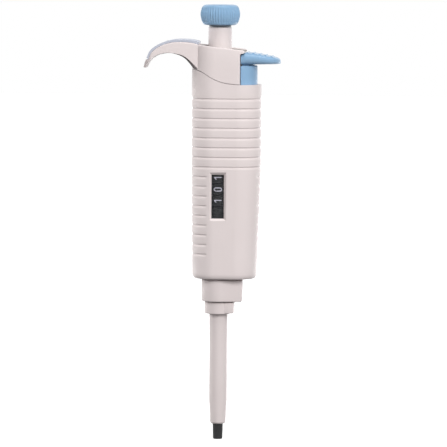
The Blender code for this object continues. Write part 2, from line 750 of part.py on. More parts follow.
def build_cap():
    bottom = SEAM_RIGHT_Z - 2.0 * SPIGOT_HEIGHT
    outer = loft("top_cap", [
        grip_ring(bottom),
        cap_ring(0.0, CAP_EDGE),
        cap_ring(CAP_EDGE * 0.3, CAP_EDGE * 0.3),
        cap_ring(CAP_EDGE, 0.0),
        cap_ring(CAP_RIM, 0.0),
        cap_ring(CAP_RIM + CAP_DISH * 0.5, CAP_DISH)])
    join(outer, build_hook())
    seam = flat("below_seam", seam_region(FIT / 2.0, bottom - 2.0 * PAST),
                -2.0 * GRIP_HALF, 2.0 * GRIP_HALF, upright=True)
    cut(outer, seam)
    roof = loft("cap_inside", [
        [(x, y, bottom - PAST) for x, y in cap_inside_outline()],
        [(x, y, cap_height(x, CAP_ROOF)) for x, y in cap_inside_outline()]])
    cut(outer, roof)
    join(outer, build_spigot())
    guide_r = NECK_R + FIT + GUIDE_WALL
    join(outer, cylinder("neck_guide", guide_r, GUIDE_BOTTOM, CAP_TOP - CAP_ROOF * 0.5))
    cut(outer, cylinder("neck_bore", NECK_R + FIT, GUIDE_BOTTOM - PAST, CAP_TOP + 2.0 * PAST))
    lip_under = CAP_TOP - math.tan(CAP_SLOPE) * CAP_LIP_X - CAP_LIP_THICK
    far_x = GRIP_RIGHT + PAST
    high = CAP_TOP + 2.0 * PAST
    side = [(CAP_FACE_X, bottom - 2.0 * PAST), (far_x, bottom - 2.0 * PAST), (far_x, high)]
    side += lip_corner(high)
    side += [(CAP_LIP_X, lip_under), (CAP_FACE_X, lip_under - CAP_LIP_FALL)]
    cut(outer, flat("button_side", side, -2.0 * GRIP_HALF, 2.0 * GRIP_HALF, upright=True))
    return finish(outer, "top_cap", WHITE)


def lip_corner(high):
    """Rounded upper corner of the lip over the button's root, from above (X, Z)."""
    middle_x = CAP_LIP_X - CAP_LIP_ROUND
    middle_z = cap_height(CAP_LIP_X, CAP_LIP_ROUND)
    steps = 4
    points = [(middle_x, high)]
    for index in range(steps + 1):
        angle = math.pi / 2.0 * (1.0 - index / steps)
        points.append((middle_x + CAP_LIP_ROUND * math.cos(angle),
                       middle_z + CAP_LIP_ROUND * math.sin(angle)))
    return points


def cap_inside_outline():
    return clipped_oval(*grip_size(GRIP_TOP, CAP_WALL), CAP_FACE_X - CAP_WALL)


def build_spigot():
    """Skirt of the cap that goes down inside the grip's mouth."""
    outside = cavity_outline(GRIP_TOP, FIT, CAP_FACE_X - FIT)
    inside = cavity_outline(GRIP_TOP, FIT + SPIGOT_WALL, CAP_FACE_X - FIT - SPIGOT_WALL)
    low = SEAM_RIGHT_Z - 2.0 * SPIGOT_HEIGHT
    spigot = flat("spigot", outside, low, SEAM_LEFT_Z + SPIGOT_WALL * 2.0)
    cut(spigot, flat("spigot_inside", inside, low - PAST, GRIP_TOP))
    cut(spigot, flat("below_spigot", seam_region(-SPIGOT_HEIGHT, low - 2.0 * PAST),
                     -2.0 * GRIP_HALF, 2.0 * GRIP_HALF, upright=True))
    return bake(spigot)


def build_button():
    steps = 4
    shoulder = BUTTON_R - BUTTON_SHOULDER
    profile = [(0.0, BUTTON_TOP)]
    for index in range(steps + 1):
        angle = math.pi / 2.0 * index / steps
        profile.append((shoulder - BUTTON_ROUND * (1.0 - math.sin(angle)),
                        BUTTON_TOP - BUTTON_ROUND * (1.0 - math.cos(angle))))
    foot = BUTTON_BOTTOM
    skirt = BUTTON_FOOT_R + (shoulder - BUTTON_FOOT_R) * BUTTON_SKIRT_SHARE
    profile += [(BUTTON_R, BUTTON_TOP - BUTTON_BELLY),
                (shoulder, foot + BUTTON_TAPER),
                (skirt, foot + BUTTON_TAPER / 2.0),
                (BUTTON_FOOT_R, foot + BUTTON_FOOT_EDGE),
                (BUTTON_FOOT_R - BUTTON_FOOT_EDGE, foot),
                (LOCK_R + FIT, foot),
                (LOCK_R + FIT, foot + LOCK_RECESS),
                (STEM_R + FIT, foot + LOCK_RECESS),
                (STEM_R + FIT, foot + BUTTON_SOCKET),
                (0.0, foot + BUTTON_SOCKET)]
    return finish(turned("push_button", profile), "push_button", BLUE)


def build_lock():
    top = BUTTON_BOTTOM + LOCK_RECESS - FIT
    bottom = NECK_TOP + FIT
    inner = STEM_R + FIT
    ring = turned("calibration_lock", [(inner, top), (LOCK_R, top), (LOCK_R, bottom),
                                       (inner, bottom)], closed=True)
    return finish(ring, "calibration_lock", DARK)


def build_neck():
    """Sleeve closed at the top, where it clamps on the stem."""
    inner = NECK_R - NECK_WALL
    hub = STEM_R + FIT
    profile = [(hub, NECK_TOP), (NECK_R - FIT, NECK_TOP), (NECK_R, NECK_TOP - FIT),
               (NECK_R, NECK_BOTTOM), (inner, NECK_BOTTOM),
               (inner, NECK_TOP - NECK_ROOF), (hub, NECK_TOP - NECK_ROOF)]
    return finish(turned("neck_sleeve", profile, closed=True), "neck_sleeve", WHITE)


def build_stem():
    stem = cylinder("drive_stem", STEM_R, COLLAR_TOP + FIT,
                    BUTTON_BOTTOM + BUTTON_SOCKET - FIT, sides=6)
    return finish(stem, "drive_stem", STEEL)


def build_rod():
    socket_r = PISTON_R + FIT
    profile = [(0.0, COLLAR_TOP), (COLLAR_R - FIT, COLLAR_TOP), (COLLAR_R, COLLAR_TOP - FIT),
               (COLLAR_R, COLLAR_BOTTOM), (ROD_R, COLLAR_BOTTOM),
               (ROD_R, ROD_BOTTOM), (socket_r, ROD_BOTTOM),
               (socket_r, PISTON_TOP + FIT), (0.0, PISTON_TOP + FIT)]
    return finish(turned("piston_rod", profile, BORE_STEPS), "piston_rod", DARK)


def build_piston():
    profile = [(0.0, PISTON_TOP), (PISTON_R, PISTON_TOP),
               (PISTON_R, PISTON_BOTTOM + PISTON_EDGE), (PISTON_R - PISTON_EDGE, PISTON_BOTTOM),
               (0.0, PISTON_BOTTOM)]
    return finish(turned("piston", profile, BORE_STEPS), "piston", STEEL)


def build_spindle():
    """Threaded tube turned by the stem, with a collar above the bearing plate."""
    collar_bottom = BEARING_TOP + 2.0 * RING_WIRE_R + 2.0 * FIT
    collar_top = collar_bottom + SPINDLE_COLLAR_THICK
    profile = [(0.0, SPINDLE_TOP), (SPINDLE_R, SPINDLE_TOP), (SPINDLE_R, collar_top),
               (SPINDLE_COLLAR_R, collar_top), (SPINDLE_COLLAR_R, collar_bottom),
               (SPINDLE_R, collar_bottom), (SPINDLE_R, SPINDLE_BOTTOM), (0.0, SPINDLE_BOTTOM)]
    spindle = turned("setting_spindle", profile, BORE_STEPS)
    cut(spindle, cylinder("stem_bore", STEM_R + FIT * 1.2, SPINDLE_BOTTOM - PAST,
                          SPINDLE_TOP + PAST, sides=6))
    return finish(spindle, "setting_spindle", BRASS)


def build_driver():
    """Disc on the spindle that turns the units drum."""
    top = DRIVER_BOTTOM + DRIVER_THICK
    inner = SPINDLE_R + FIT
    profile = [(inner, top), (DRIVER_R, top), (DRIVER_R, DRIVER_BOTTOM), (inner, DRIVER_BOTTOM)]
    disc = turned("drum_driver", profile, BORE_STEPS, closed=True)
    return finish(disc, "drum_driver", FRAME_PLASTIC)


def build_drum(name, place):
    """One ring of the counter; place 0 is the lowest."""
    middle = DRUM_LOWEST + place * DRUM_PITCH
    half = (DRUM_PITCH - FIT) / 2.0
    inner = TUBE_R + FIT
    profile = [(inner, middle + half), (DRUM_R - DRUM_BEVEL, middle + half),
               (DRUM_R, middle + half - DRUM_BEVEL), (DRUM_R, middle - half + DRUM_BEVEL),
               (DRUM_R - DRUM_BEVEL, middle - half), (inner, middle - half)]
    return finish(turned(name, profile, closed=True), name, BLACK)


def build_counter_tube():
    """Tube that carries the drums, on a flange that fills the grip's inside."""
    flange_bottom = FLANGE_TOP - FLANGE_THICK
    outline = cavity_outline(flange_bottom, FIT, CHASSIS_CUT_X)
    tube = flat("counter_tube", outline, flange_bottom, FLANGE_TOP - FIT)
    join(tube, cylinder("drum_axle", TUBE_R, flange_bottom + FIT, TUBE_TOP - FIT))
    cut(tube, cylinder("nut_way", TUBE_R - TUBE_WALL, flange_bottom - PAST,
                       TUBE_TOP + PAST))
    return finish(tube, "counter_tube", FRAME_PLASTIC)


def build_plate(name, bottom):
    """Plate across the grip's inside with a bearing for the spindle."""
    outline = cavity_outline(bottom, FIT, CHASSIS_CUT_X)
    plate = flat(name, outline, bottom, bottom + BEARING_THICK)
    cut(plate, cylinder(name + "_bore", SPINDLE_R + FIT, bottom - PAST,
                        bottom + BEARING_THICK + PAST, sides=BORE_STEPS))
    return finish(plate, name, FRAME_PLASTIC)


def build_stop_nut():
    """Nut on the spindle with a skirt round the rod's collar."""
    inner = COLLAR_R + FIT
    bore = SPINDLE_R + FIT
    top = NUT_UNDERSIDE + NUT_BODY
    profile = [(bore, top), (NUT_R, top), (NUT_R, NUT_SKIRT_BOTTOM), (inner, NUT_SKIRT_BOTTOM),
               (inner, NUT_UNDERSIDE), (bore, NUT_UNDERSIDE)]
    return finish(turned("stop_nut", profile, BORE_STEPS, closed=True), "stop_nut", BRASS)


def build_washer():
    inner = RETURN_COIL_R + RETURN_WIRE_R + 2.0 * FIT
    bottom = WASHER_TOP - WASHER_THICK
    profile = [(inner, WASHER_TOP), (WASHER_R, WASHER_TOP), (WASHER_R, bottom), (inner, bottom)]
    return finish(turned("blowout_washer", profile, BORE_STEPS, closed=True), "blowout_washer", STEEL)


def build_springs():
    returning = coil("return_spring", RETURN_COIL_R, RETURN_WIRE_R, RETAINER_TOP + FIT,
                     COLLAR_BOTTOM - FIT, RETURN_TURNS)
    finish(returning, "return_spring", STEEL)
    blowing = coil("blowout_spring", BLOW_COIL_R, BLOW_WIRE_R, CONE_NUT_TOP + FIT,
                   WASHER_TOP - WASHER_THICK - FIT, BLOW_TURNS)
    finish(blowing, "blowout_spring", STEEL)
    ejecting = coil("ejector_spring", EJECT_COIL_R, EJECT_WIRE_R, FLOOR_TOP + FIT,
                    LUG_TOP - BAR_THICK - FIT, EJECT_TURNS, at=(PIN_X, 0.0))
    finish(ejecting, "ejector_spring", STEEL)


def build_cone():
    """Barrel, tube and cone in one moulding, bored for the seals and the piston."""
    pocket = SEAL_R + FIT
    bore = PISTON_R + FIT
    flange_seat = RETAINER_TOP - RETAINER_FLANGE - FIT
    barrel_top = FLOOR_BOTTOM - FIT
    profile = [
        (CONE_NECK_R, CONE_NECK_TOP), (CONE_NECK_R, barrel_top),
        (BARREL_R, barrel_top), (BARREL_R, BARREL_BOTTOM + BARREL_EDGE),
        (BARREL_R - BARREL_EDGE, BARREL_BOTTOM), (CONE_TUBE_R, BARREL_BOTTOM),
        (CONE_TUBE_R, CONE_TUBE_Z), (CONE_LONG_R, CONE_LONG_Z),
        (CONE_SLEEVE_R, SLEEVE_BOTTOM), (CONE_END_R, CONE_END_EDGE),
        (CONE_END_R - CONE_END_EDGE, 0.0), (AIR_R, 0.0),
        (AIR_R, PISTON_BORE_BOTTOM - PAST), (bore, PISTON_BORE_BOTTOM),
        (bore, SEAL_BOTTOM), (pocket, SEAL_BOTTOM),
        (pocket, flange_seat), (SPRING_BORE_R, flange_seat),
        (SPRING_BORE_R, CONE_NECK_TOP)]
    return finish(turned("tip_cone", profile, CONE_STEPS, closed=True), "tip_cone", DARK)


def build_seals():
    bore = PISTON_R + FIT * 0.5
    low = SEAL_BOTTOM + FIT
    top = low + SEAL_HEIGHT
    seal = turned("piston_seal", [(bore, top), (SEAL_R, top), (SEAL_R, low), (bore, low)],
                  BORE_STEPS, closed=True)
    finish(seal, "piston_seal", FRAME_PLASTIC)
    ring_height = top + FIT + SEAL_RING_R
    ring = o_ring("seal_ring", PISTON_R + FIT + SEAL_RING_R, SEAL_RING_R, ring_height)
    finish(ring, "seal_ring", RUBBER)
    spigot_bottom = ring_height + SEAL_RING_R + FIT
    under_flange = RETAINER_TOP - RETAINER_FLANGE
    hole = PISTON_R + FIT
    profile = [(hole, RETAINER_TOP), (RETAINER_R, RETAINER_TOP), (RETAINER_R, under_flange),
               (SEAL_R, under_flange), (SEAL_R, spigot_bottom), (hole, spigot_bottom)]
    finish(turned("seal_retainer", profile, BORE_STEPS, closed=True), "seal_retainer", BRASS)


def build_cone_nut():
    """Ring nut that draws the tip cone up against the grip's floor."""
    nut = cylinder("cone_nut", CONE_NUT_R, CONE_NUT_BOTTOM, CONE_NUT_TOP, sides=6)
    cut(nut, cylinder("cone_nut_bore", CONE_NECK_R + FIT, CONE_NUT_BOTTOM - PAST,
                      CONE_NUT_TOP + PAST))
    return finish(nut, "cone_nut", BRASS)


def build_friction_ring():
    ring = o_ring("friction_ring", SPINDLE_R + FIT + RING_WIRE_R, RING_WIRE_R,
                  BEARING_TOP + FIT + RING_WIRE_R)
    return finish(ring, "friction_ring", RUBBER)


def plate_outline():
    """Plan of the thumb plate: straight sides and a rounded end (X, Y)."""
    root = CAP_FACE_X + FIT
    reach = PLATE_TIP_X - PLATE_STRAIGHT_X
    steps = 16
    points = [(root, -PLATE_HALF)]
    for index in range(steps + 1):
        angle = -math.pi / 2.0 + math.pi * index / steps
        points.append((PLATE_STRAIGHT_X + reach * math.cos(angle), PLATE_HALF * math.sin(angle)))
    points.append((root, PLATE_HALF))
    return points


def build_ejector_button():
    top = smooth_line([(x * MM, z * MM) for x, z in PLATE_TOP], 3)
    side = [(top[0][0], PLATE_UNDER), *top, (PLATE_TIP_X, PLATE_UNDER + PLATE_RISE)]
    plate = flat("ejector_button", side, -2.0 * PLATE_HALF, 2.0 * PLATE_HALF, upright=True)
    plan = flat("plate_plan", plate_outline(), PLATE_UNDER - PAST, CAP_TOP)
    combine(plate, plan, "INTERSECT")
    plate = bake(plate)
    edge = plate.modifiers.new("edge", "BEVEL")
    edge.width = PLATE_EDGE
    edge.segments = 2
    edge.limit_method = "ANGLE"
    edge.angle_limit = math.radians(40.0)
    plate = bake(plate)
    for index in range(RIDGE_COUNT):
        x = RIDGE_FIRST_X + index * RIDGE_PITCH
        join(plate, ridge("ridge", x, height_on(top, x) - RIDGE_R * 0.35))
    column = flat("column", column_outline(), COLUMN_BOTTOM, PLATE_UNDER + COLUMN_LAP)
    join(plate, column)
    return finish(plate, "ejector_button", BLUE)


def height_on(line, x):
    """Height of a line of (X, Z) points at X."""
    for (x0, z0), (x1, z1) in zip(line, line[1:]):
        if x0 <= x <= x1:
            return z0 + (z1 - z0) * (x - x0) / (x1 - x0)
    return line[-1][1]


def ridge(name, x, z):
    """Rounded bar across the thumb plate."""
    bpy.ops.mesh.primitive_cylinder_add(
        vertices=12, radius=RIDGE_R, depth=2.0 * RIDGE_HALF, location=(x, 0.0, z),
        rotation=(math.pi / 2.0, 0.0, 0.0))
    body = bpy.context.object
    body.name = name
    return body


def build_bar():
    """Steel strip from the button's column down to the head, with a lug for its spring."""
    left = BAR_LEFT
    right = BAR_LEFT + BAR_THICK
    tab_top = COLUMN_BOTTOM - FIT
    side = [(left, BAR_BOTTOM), (right, BAR_BOTTOM), (right, LUG_TOP - BAR_THICK),
            (BAR_TAB_X, LUG_TOP - BAR_THICK), (BAR_TAB_X, LUG_TOP), (right, LUG_TOP),
            (right, tab_top - BAR_THICK), (BAR_TAB_X, tab_top - BAR_THICK),
            (BAR_TAB_X, tab_top), (left, tab_top)]
    bar = flat("ejector_bar", side, -BAR_HALF, BAR_HALF, upright=True)
    cut(bar, cylinder("pin_hole", PIN_R + FIT, LUG_TOP - BAR_THICK - PAST, LUG_TOP + PAST,
                      sides=BORE_STEPS, at=(PIN_X, 0.0)))
    return finish(bar, "ejector_bar", STEEL)


def build_pin():
    pin = cylinder("spring_pin", PIN_R, FLOOR_TOP + FIT, PIN_TOP, sides=16, at=(PIN_X, 0.0))
    return finish(pin, "spring_pin", STEEL)


def head_outline():
    """Plan of the ejector head: round, with sides that run out to a flat end (X, Y)."""
    away = math.hypot(HEAD_RIGHT, HEAD_HALF)
    meet = math.atan2(HEAD_HALF, HEAD_RIGHT) + math.acos(min(1.0, HEAD_R / away))
    steps = 24
    points = [(HEAD_RIGHT, -HEAD_HALF), (HEAD_RIGHT, HEAD_HALF)]
    for index in range(steps + 1):
        angle = meet + (math.tau - 2.0 * meet) * index / steps
        points.append((HEAD_R * math.cos(angle), HEAD_R * math.sin(angle)))
    return points


def build_ejector_head():
    head = flat("ejector_head", head_outline(), HEAD_BOTTOM, HEAD_TOP)
    edge = head.modifiers.new("edge", "BEVEL")
    edge.width = HEAD_EDGE
    edge.segments = 2
    edge.limit_method = "ANGLE"
    edge.angle_limit = math.radians(40.0)
    head = bake(head)
    cut(head, cylinder("barrel_room", BARREL_R + FIT, HEAD_BOTTOM + HEAD_FLOOR,
                       HEAD_TOP + PAST))
    cut(head, cylinder("tube_room", SLEEVE_CLEAR_R, HEAD_BOTTOM - PAST,
                       HEAD_BOTTOM + HEAD_FLOOR + PAST))
    cut(head, box("bar_pocket",
                  (BAR_LEFT - FIT, -BAR_HALF - FIT, BAR_BOTTOM - FIT),
                  (BAR_LEFT + BAR_THICK + FIT, BAR_HALF + FIT, HEAD_TOP + PAST)))
    return finish(head, "ejector_head", WHITE)


def build_sleeve():
    profile = [
        (SLEEVE_CLEAR_R, SLEEVE_TOP), (SLEEVE_HEAD_R, SLEEVE_TOP),
        (SLEEVE_HEAD_R, SLEEVE_HEAD_BOTTOM + SLEEVE_HEAD_EDGE),
        (SLEEVE_HEAD_R - SLEEVE_HEAD_EDGE, SLEEVE_HEAD_BOTTOM),
        (SLEEVE_R_UPPER, SLEEVE_HEAD_BOTTOM), (SLEEVE_R_MIDDLE, SLEEVE_WAIST_Z),
        (SLEEVE_R_MIDDLE, SLEEVE_SHOULDER_Z), (SLEEVE_R_LOWER, SLEEVE_NOSE_Z),
        (SLEEVE_R_LOWER - SLEEVE_END_EDGE * 0.125, SLEEVE_BOTTOM + SLEEVE_END_EDGE),
        (SLEEVE_R_END, SLEEVE_BOTTOM),
        (CONE_SLEEVE_R + FIT, SLEEVE_BOTTOM), (SLEEVE_BORE_R, SLEEVE_MOUTH_Z),
        (SLEEVE_BORE_R, SLEEVE_TOP - SLEEVE_HEAD_HEIGHT * 0.5)]
    sleeve = turned("ejector_sleeve", profile, closed=True)
    tab = box("sleeve_tab",
              (SLEEVE_TAB_LEFT, -SLEEVE_TAB_HALF, SLEEVE_HEAD_BOTTOM + SLEEVE_HEAD_EDGE),
              (SLEEVE_TAB_RIGHT, SLEEVE_TAB_HALF, SLEEVE_TOP))
    cut(tab, cylinder("tab_room", SLEEVE_R_UPPER, SLEEVE_HEAD_BOTTOM, SLEEVE_TOP + PAST))
    join(sleeve, bake(tab))
    return finish(sleeve, "ejector_sleeve", WHITE)


def build():
    build_handle()
    build_cap()
    build_pad()
    build_lens()
    build_button()
    build_lock()
    build_neck()
    build_stem()
    build_rod()
    build_piston()
    build_spindle()
    build_driver()
    build_drum("blank_drum", 0)
    build_drum("hundreds_drum", 1)
    build_drum("tens_drum", 2)
    build_drum("units_drum", 3)
    build_counter_tube()
    build_plate("bearing_plate", BEARING_BOTTOM)
    build_plate("upper_bearing", UPPER_BEARING_BOTTOM)
    build_friction_ring()
    build_stop_nut()
    build_washer()
    build_springs()
    build_cone()
    build_cone_nut()
    build_seals()
    build_ejector_button()
    build_bar()
    build_pin()
    build_ejector_head()
    build_sleeve()


build()
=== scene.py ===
# Looks of the adjustable micropipette: fine shapes, finishes, studio light and camera.
# Metres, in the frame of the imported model: +Z up the piston's axis, +X the ejector side,
# -X the hook side, -Y the side of the counter's window.

import json
import math

import bmesh
import bpy
from mathutils import Matrix, Vector


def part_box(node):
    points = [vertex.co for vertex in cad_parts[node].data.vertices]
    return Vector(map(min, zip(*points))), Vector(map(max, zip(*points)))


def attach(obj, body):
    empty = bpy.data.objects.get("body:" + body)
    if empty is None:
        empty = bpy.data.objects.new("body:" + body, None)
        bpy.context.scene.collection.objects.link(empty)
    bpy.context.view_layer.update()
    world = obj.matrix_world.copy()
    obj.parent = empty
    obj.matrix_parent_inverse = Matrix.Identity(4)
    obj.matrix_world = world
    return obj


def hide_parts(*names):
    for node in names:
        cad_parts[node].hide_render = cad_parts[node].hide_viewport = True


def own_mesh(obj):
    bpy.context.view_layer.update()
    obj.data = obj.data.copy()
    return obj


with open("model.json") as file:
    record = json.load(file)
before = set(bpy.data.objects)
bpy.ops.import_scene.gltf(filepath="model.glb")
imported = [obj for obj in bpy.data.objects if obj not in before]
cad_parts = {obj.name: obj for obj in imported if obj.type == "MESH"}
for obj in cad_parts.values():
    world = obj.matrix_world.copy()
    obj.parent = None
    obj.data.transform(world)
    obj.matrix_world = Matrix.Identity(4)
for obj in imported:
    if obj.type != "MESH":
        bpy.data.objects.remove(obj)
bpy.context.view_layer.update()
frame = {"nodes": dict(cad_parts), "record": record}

MM = 0.001
FIT = 0.3 * MM
PAST = 1.0 * MM
ACROSS = 20.0 * MM
WELD = 0.01 * MM

# Grip
GRIP_BOTTOM = 90.0 * MM
GRIP_TAPER_TOP = 152.0 * MM
GRIP_TOP = 212.0 * MM
GRIP_ENDS = (-15.5 * MM, 23.1 * MM, 13.5 * MM)
FOOT_ENDS = (-14.8 * MM, 21.0 * MM, 13.0 * MM)
FOOT_ROUND = 3.0 * MM
GRIP_WALL = 1.8 * MM
GRIP_STRAIGHT_Z = (95.0 * MM, 99.0 * MM)
GROOVE_STEPS = (-2.69, -1.9, -1.3, -1.1, -0.8, -0.5, -0.25, 0.0, 0.15, 0.3, 0.42, 0.55, 1.1, 1.9)
FLOOR_BOTTOM = 93.0 * MM
FLOOR_TOP = 95.5 * MM
FLOOR_HOLE_R = 5.8 * MM
SHOULDER_Z = 198.0 * MM
SHOULDER_THICK = 1.8 * MM
GROOVE_TOP = 189.9 * MM
GROOVE_PITCH = 5.38 * MM
GROOVE_COUNT = 17
GROOVES_ALL_ROUND = 8
PANEL = (-6.5 * MM, 21.5 * MM)
SEAM = [(-13.3, 206.3), (-8.6, 204.5), (-3.1, 201.2), (3.3, 198.9), (11.9, 198.0)]
WINDOW = (3.45 * MM, 123.9 * MM, 148.2 * MM)
WINDOW_FRAME = 1.4 * MM
WINDOW_FRAME_DEPTH = 1.3 * MM
LENS_THICK = 1.1 * MM

# Cap, hook and pad
CAP_TOP = 218.5 * MM
CAP_SLOPE = math.tan(math.radians(6.5))
CAP_FACE_X = 11.9 * MM
CAP_LIP_X = 14.2 * MM
CAP_LIP_THICK = 1.1 * MM
CAP_LIP_ROUND = 0.8 * MM
CAP_LIP_FALL = 1.0 * MM
CAP_WALL = 2.0 * MM
CAP_ROOF = 3.4 * MM
CAP_RIM = 1.7 * MM
CAP_DISH = 1.1 * MM
CAP_EDGE = 0.7 * MM
SPIGOT_HEIGHT = 4.0 * MM
SPIGOT_WALL = 1.4 * MM
GUIDE_WALL = 1.5 * MM
GUIDE_LENGTH = 13.0 * MM
HOOK_HALF = 9.4 * MM
HOOK_TOP = [(-11.3, 221.2), (-14.4, 222.1), (-20.5, 222.6), (-26.5, 222.2), (-31.5, 220.8),
            (-35.5, 218.7), (-38.6, 215.8), (-40.7, 210.8), (-41.7, 207.2)]
HOOK_UNDER = [(-11.3, 203.5), (-15.0, 207.9), (-18.6, 211.9), (-22.5, 213.9), (-27.5, 214.9),
              (-32.0, 214.3), (-35.6, 212.8), (-38.8, 209.9), (-40.6, 206.8)]
PAD_THICK = 1.1 * MM
PAD_HALF = 8.9 * MM
PAD_SPAN = (-0.01, 0.86)
PAD_END_GAP = 0.022

# Plunger and dial
NECK_R = 6.5 * MM
NECK_TOP = 229.3 * MM
NECK_BOTTOM = 205.0 * MM
STEM_R = 2.31 * MM
BUTTON_BOTTOM = 230.6 * MM
BUTTON_TOP = 241.8 * MM
BUTTON_SIDE = [(8.7, 241.62), (9.5, 241.15), (10.15, 240.3), (10.55, 239.1), (10.85, 238.0),
               (11.0, 236.8), (10.95, 235.6), (10.8, 234.6), (10.5, 233.5), (10.15, 232.5),
               (9.65, 231.5), (9.2, 230.9), (8.7, 230.6)]
BUTTON_HOLLOW = [(0.0, 241.4), (4.5, 241.45), (6.6, 241.72), (7.7, 241.8)]
BUTTON_INSIDE = [(6.45, 230.6), (6.45, 232.6), (2.61, 232.6), (2.61, 236.6), (0.0, 236.6)]
LOCK_R = 6.15 * MM
LOCK_Z = (229.6 * MM, 232.3 * MM)
FLUTES = 44
FLUTE_DEPTH = 0.38 * MM
FLUTE_CORE = 8.4 * MM
FLUTE_FADE = 1.6 * MM

# Counter
DRUM_R = 10.5 * MM
DRUM_PITCH = 6.36 * MM
DRUM_LOWEST = 127.2 * MM
TUBE_R = 8.5 * MM
FIGURE_LINE = 0.22 * MM
FIGURE_RAISED = 0.07 * MM
FIGURE_SCALE = (0.88, 0.95)
SERRATIONS = 72
SERRATION_DEPTH = 0.22 * MM
SERRATION_CORE = 9.4 * MM
SIX = [(0.8, 2.05), (-0.2, 1.85), (-0.9, 0.8), (-1.0, -0.8), (-0.6, -1.9), (0.2, -2.15),
       (0.9, -1.6), (0.95, -0.5), (0.3, 0.25), (-0.5, 0.1), (-0.98, -0.7)]
FIGURES = [
    [[(-1.0, 0.0), (-0.98, 1.2), (-0.6, 2.0), (0.0, 2.15), (0.6, 2.0), (0.98, 1.2), (1.0, 0.0),
      (0.98, -1.2), (0.6, -2.0), (0.0, -2.15), (-0.6, -2.0), (-0.98, -1.2), (-1.0, 0.0)]],
    [[(0.4, -2.15), (0.4, 2.15)], [(0.4, 2.15), (-0.95, 1.0)]],
    [[(-1.0, 1.35), (-0.6, 2.0), (0.1, 2.15), (0.8, 1.85), (1.0, 1.2), (0.6, 0.4), (-1.0, -2.15)],
     [(-1.0, -2.15), (1.0, -2.15)]],
    [[(-0.95, 1.6), (-0.3, 2.1), (0.5, 2.05), (0.95, 1.4), (0.7, 0.6), (-0.1, 0.2)],
     [(-0.1, 0.2), (0.8, -0.2), (1.0, -1.1), (0.6, -1.95), (-0.2, -2.15), (-1.0, -1.6)]],
    [[(0.5, -2.15), (0.5, 2.15)], [(0.5, 2.15), (-1.05, -0.8)], [(-1.05, -0.8), (1.05, -0.8)]],
    [[(0.9, 2.15), (-0.8, 2.15)], [(-0.8, 2.15), (-0.95, 0.2)],
     [(-0.95, 0.2), (0.0, 0.6), (0.8, 0.2), (1.0, -0.8), (0.7, -1.8), (-0.1, -2.15), (-1.0, -1.7)]],
    [SIX],
    [[(-1.0, 2.15), (1.0, 2.15)], [(1.0, 2.15), (0.1, 0.2), (-0.3, -2.15)]],
    [[(0.0, 2.15), (0.75, 1.85), (0.85, 1.1), (0.0, 0.25), (-0.95, -0.6), (-0.9, -1.65),
      (0.0, -2.15), (0.9, -1.65), (0.95, -0.6), (0.0, 0.25), (-0.85, 1.1), (-0.75, 1.85),
      (0.0, 2.15)]],
    [[(-x, -y) for x, y in SIX]],
]

# Ejector
EJECTOR_UNDER = 209.0 * MM
PLATE_TOP = [(12.2, 214.5), (14.4, 215.4), (18.0, 215.3), (23.3, 214.5), (28.5, 213.5),
             (31.6, 212.7), (33.0, 212.1), (33.6, 211.2)]
PLATE_RISE = 0.4 * MM
PLATE_HALF = 10.4 * MM
PLATE_STRAIGHT_X = 23.0 * MM
PLATE_TIP_X = 33.6 * MM
RIDGE_FIRST_X = 15.6 * MM
RIDGE_PITCH = 3.3 * MM
RIDGE_COUNT = 5
RIDGE_RADIUS = 0.95 * MM
RIDGE_HALF = 7.9 * MM
RIDGE_SINK = 0.6 * MM
COLUMN_X = (12.02 * MM, 20.9 * MM)
COLUMN_HALF = 10.0 * MM
COLUMN_BOTTOM = 190.0 * MM
COLUMN_GAP = 0.7 * MM
BAR_X = (11.4 * MM, 12.6 * MM)
BAR_HALF = 4.0 * MM
BAR_BOTTOM = 81.3 * MM
HEAD_Z = (77.2 * MM, 89.5 * MM)
HEAD_R = 9.6 * MM
HEAD_RIGHT = 13.4 * MM
HEAD_HALF = 6.5 * MM
SLEEVE_HEAD_Z = (70.3 * MM, 76.7 * MM)
SLEEVE_HEAD_R = 7.8 * MM
SLEEVE_TAB = (3.3 * MM, 8.8 * MM, 6.9 * MM)
SLEEVE_BELOW = [(5.2, 70.3), (4.95, 53.0), (4.95, 22.0), (4.45, 13.5), (4.35, 9.4), (3.75, 8.6),
                (3.2, 8.6), (4.3, 26.0), (4.3, 73.5)]
BARREL_R = 5.8 * MM
CLEAR_R = 4.2 * MM
CONE = [(5.5, 99.0), (5.5, 92.7), (5.8, 92.7), (5.8, 79.6), (5.2, 79.0), (3.9, 79.0), (3.9, 28.0),
        (3.3, 22.0), (2.9, 8.6), (2.65, 0.35), (2.3, 0.0), (0.7, 0.0), (0.7, 54.0), (2.18, 55.0),
        (2.18, 80.5), (3.9, 80.5), (3.9, 86.0), (4.5, 86.0), (4.5, 99.0)]

# Each spring's joint with its travel, its open turns and the half thickness of its wire
SPRINGS = [
    ("return_spring", "plunger_press", 11.3 * MM, 6, 0.3 * MM),
    ("blowout_spring", "blowout_travel", 2.3 * MM, 2, 0.4 * MM),
    ("ejector_spring", "ejector_press", 9.0 * MM, 8, 0.35 * MM),
]
COIL_STEPS = 24
WIRE_SIDES = 10


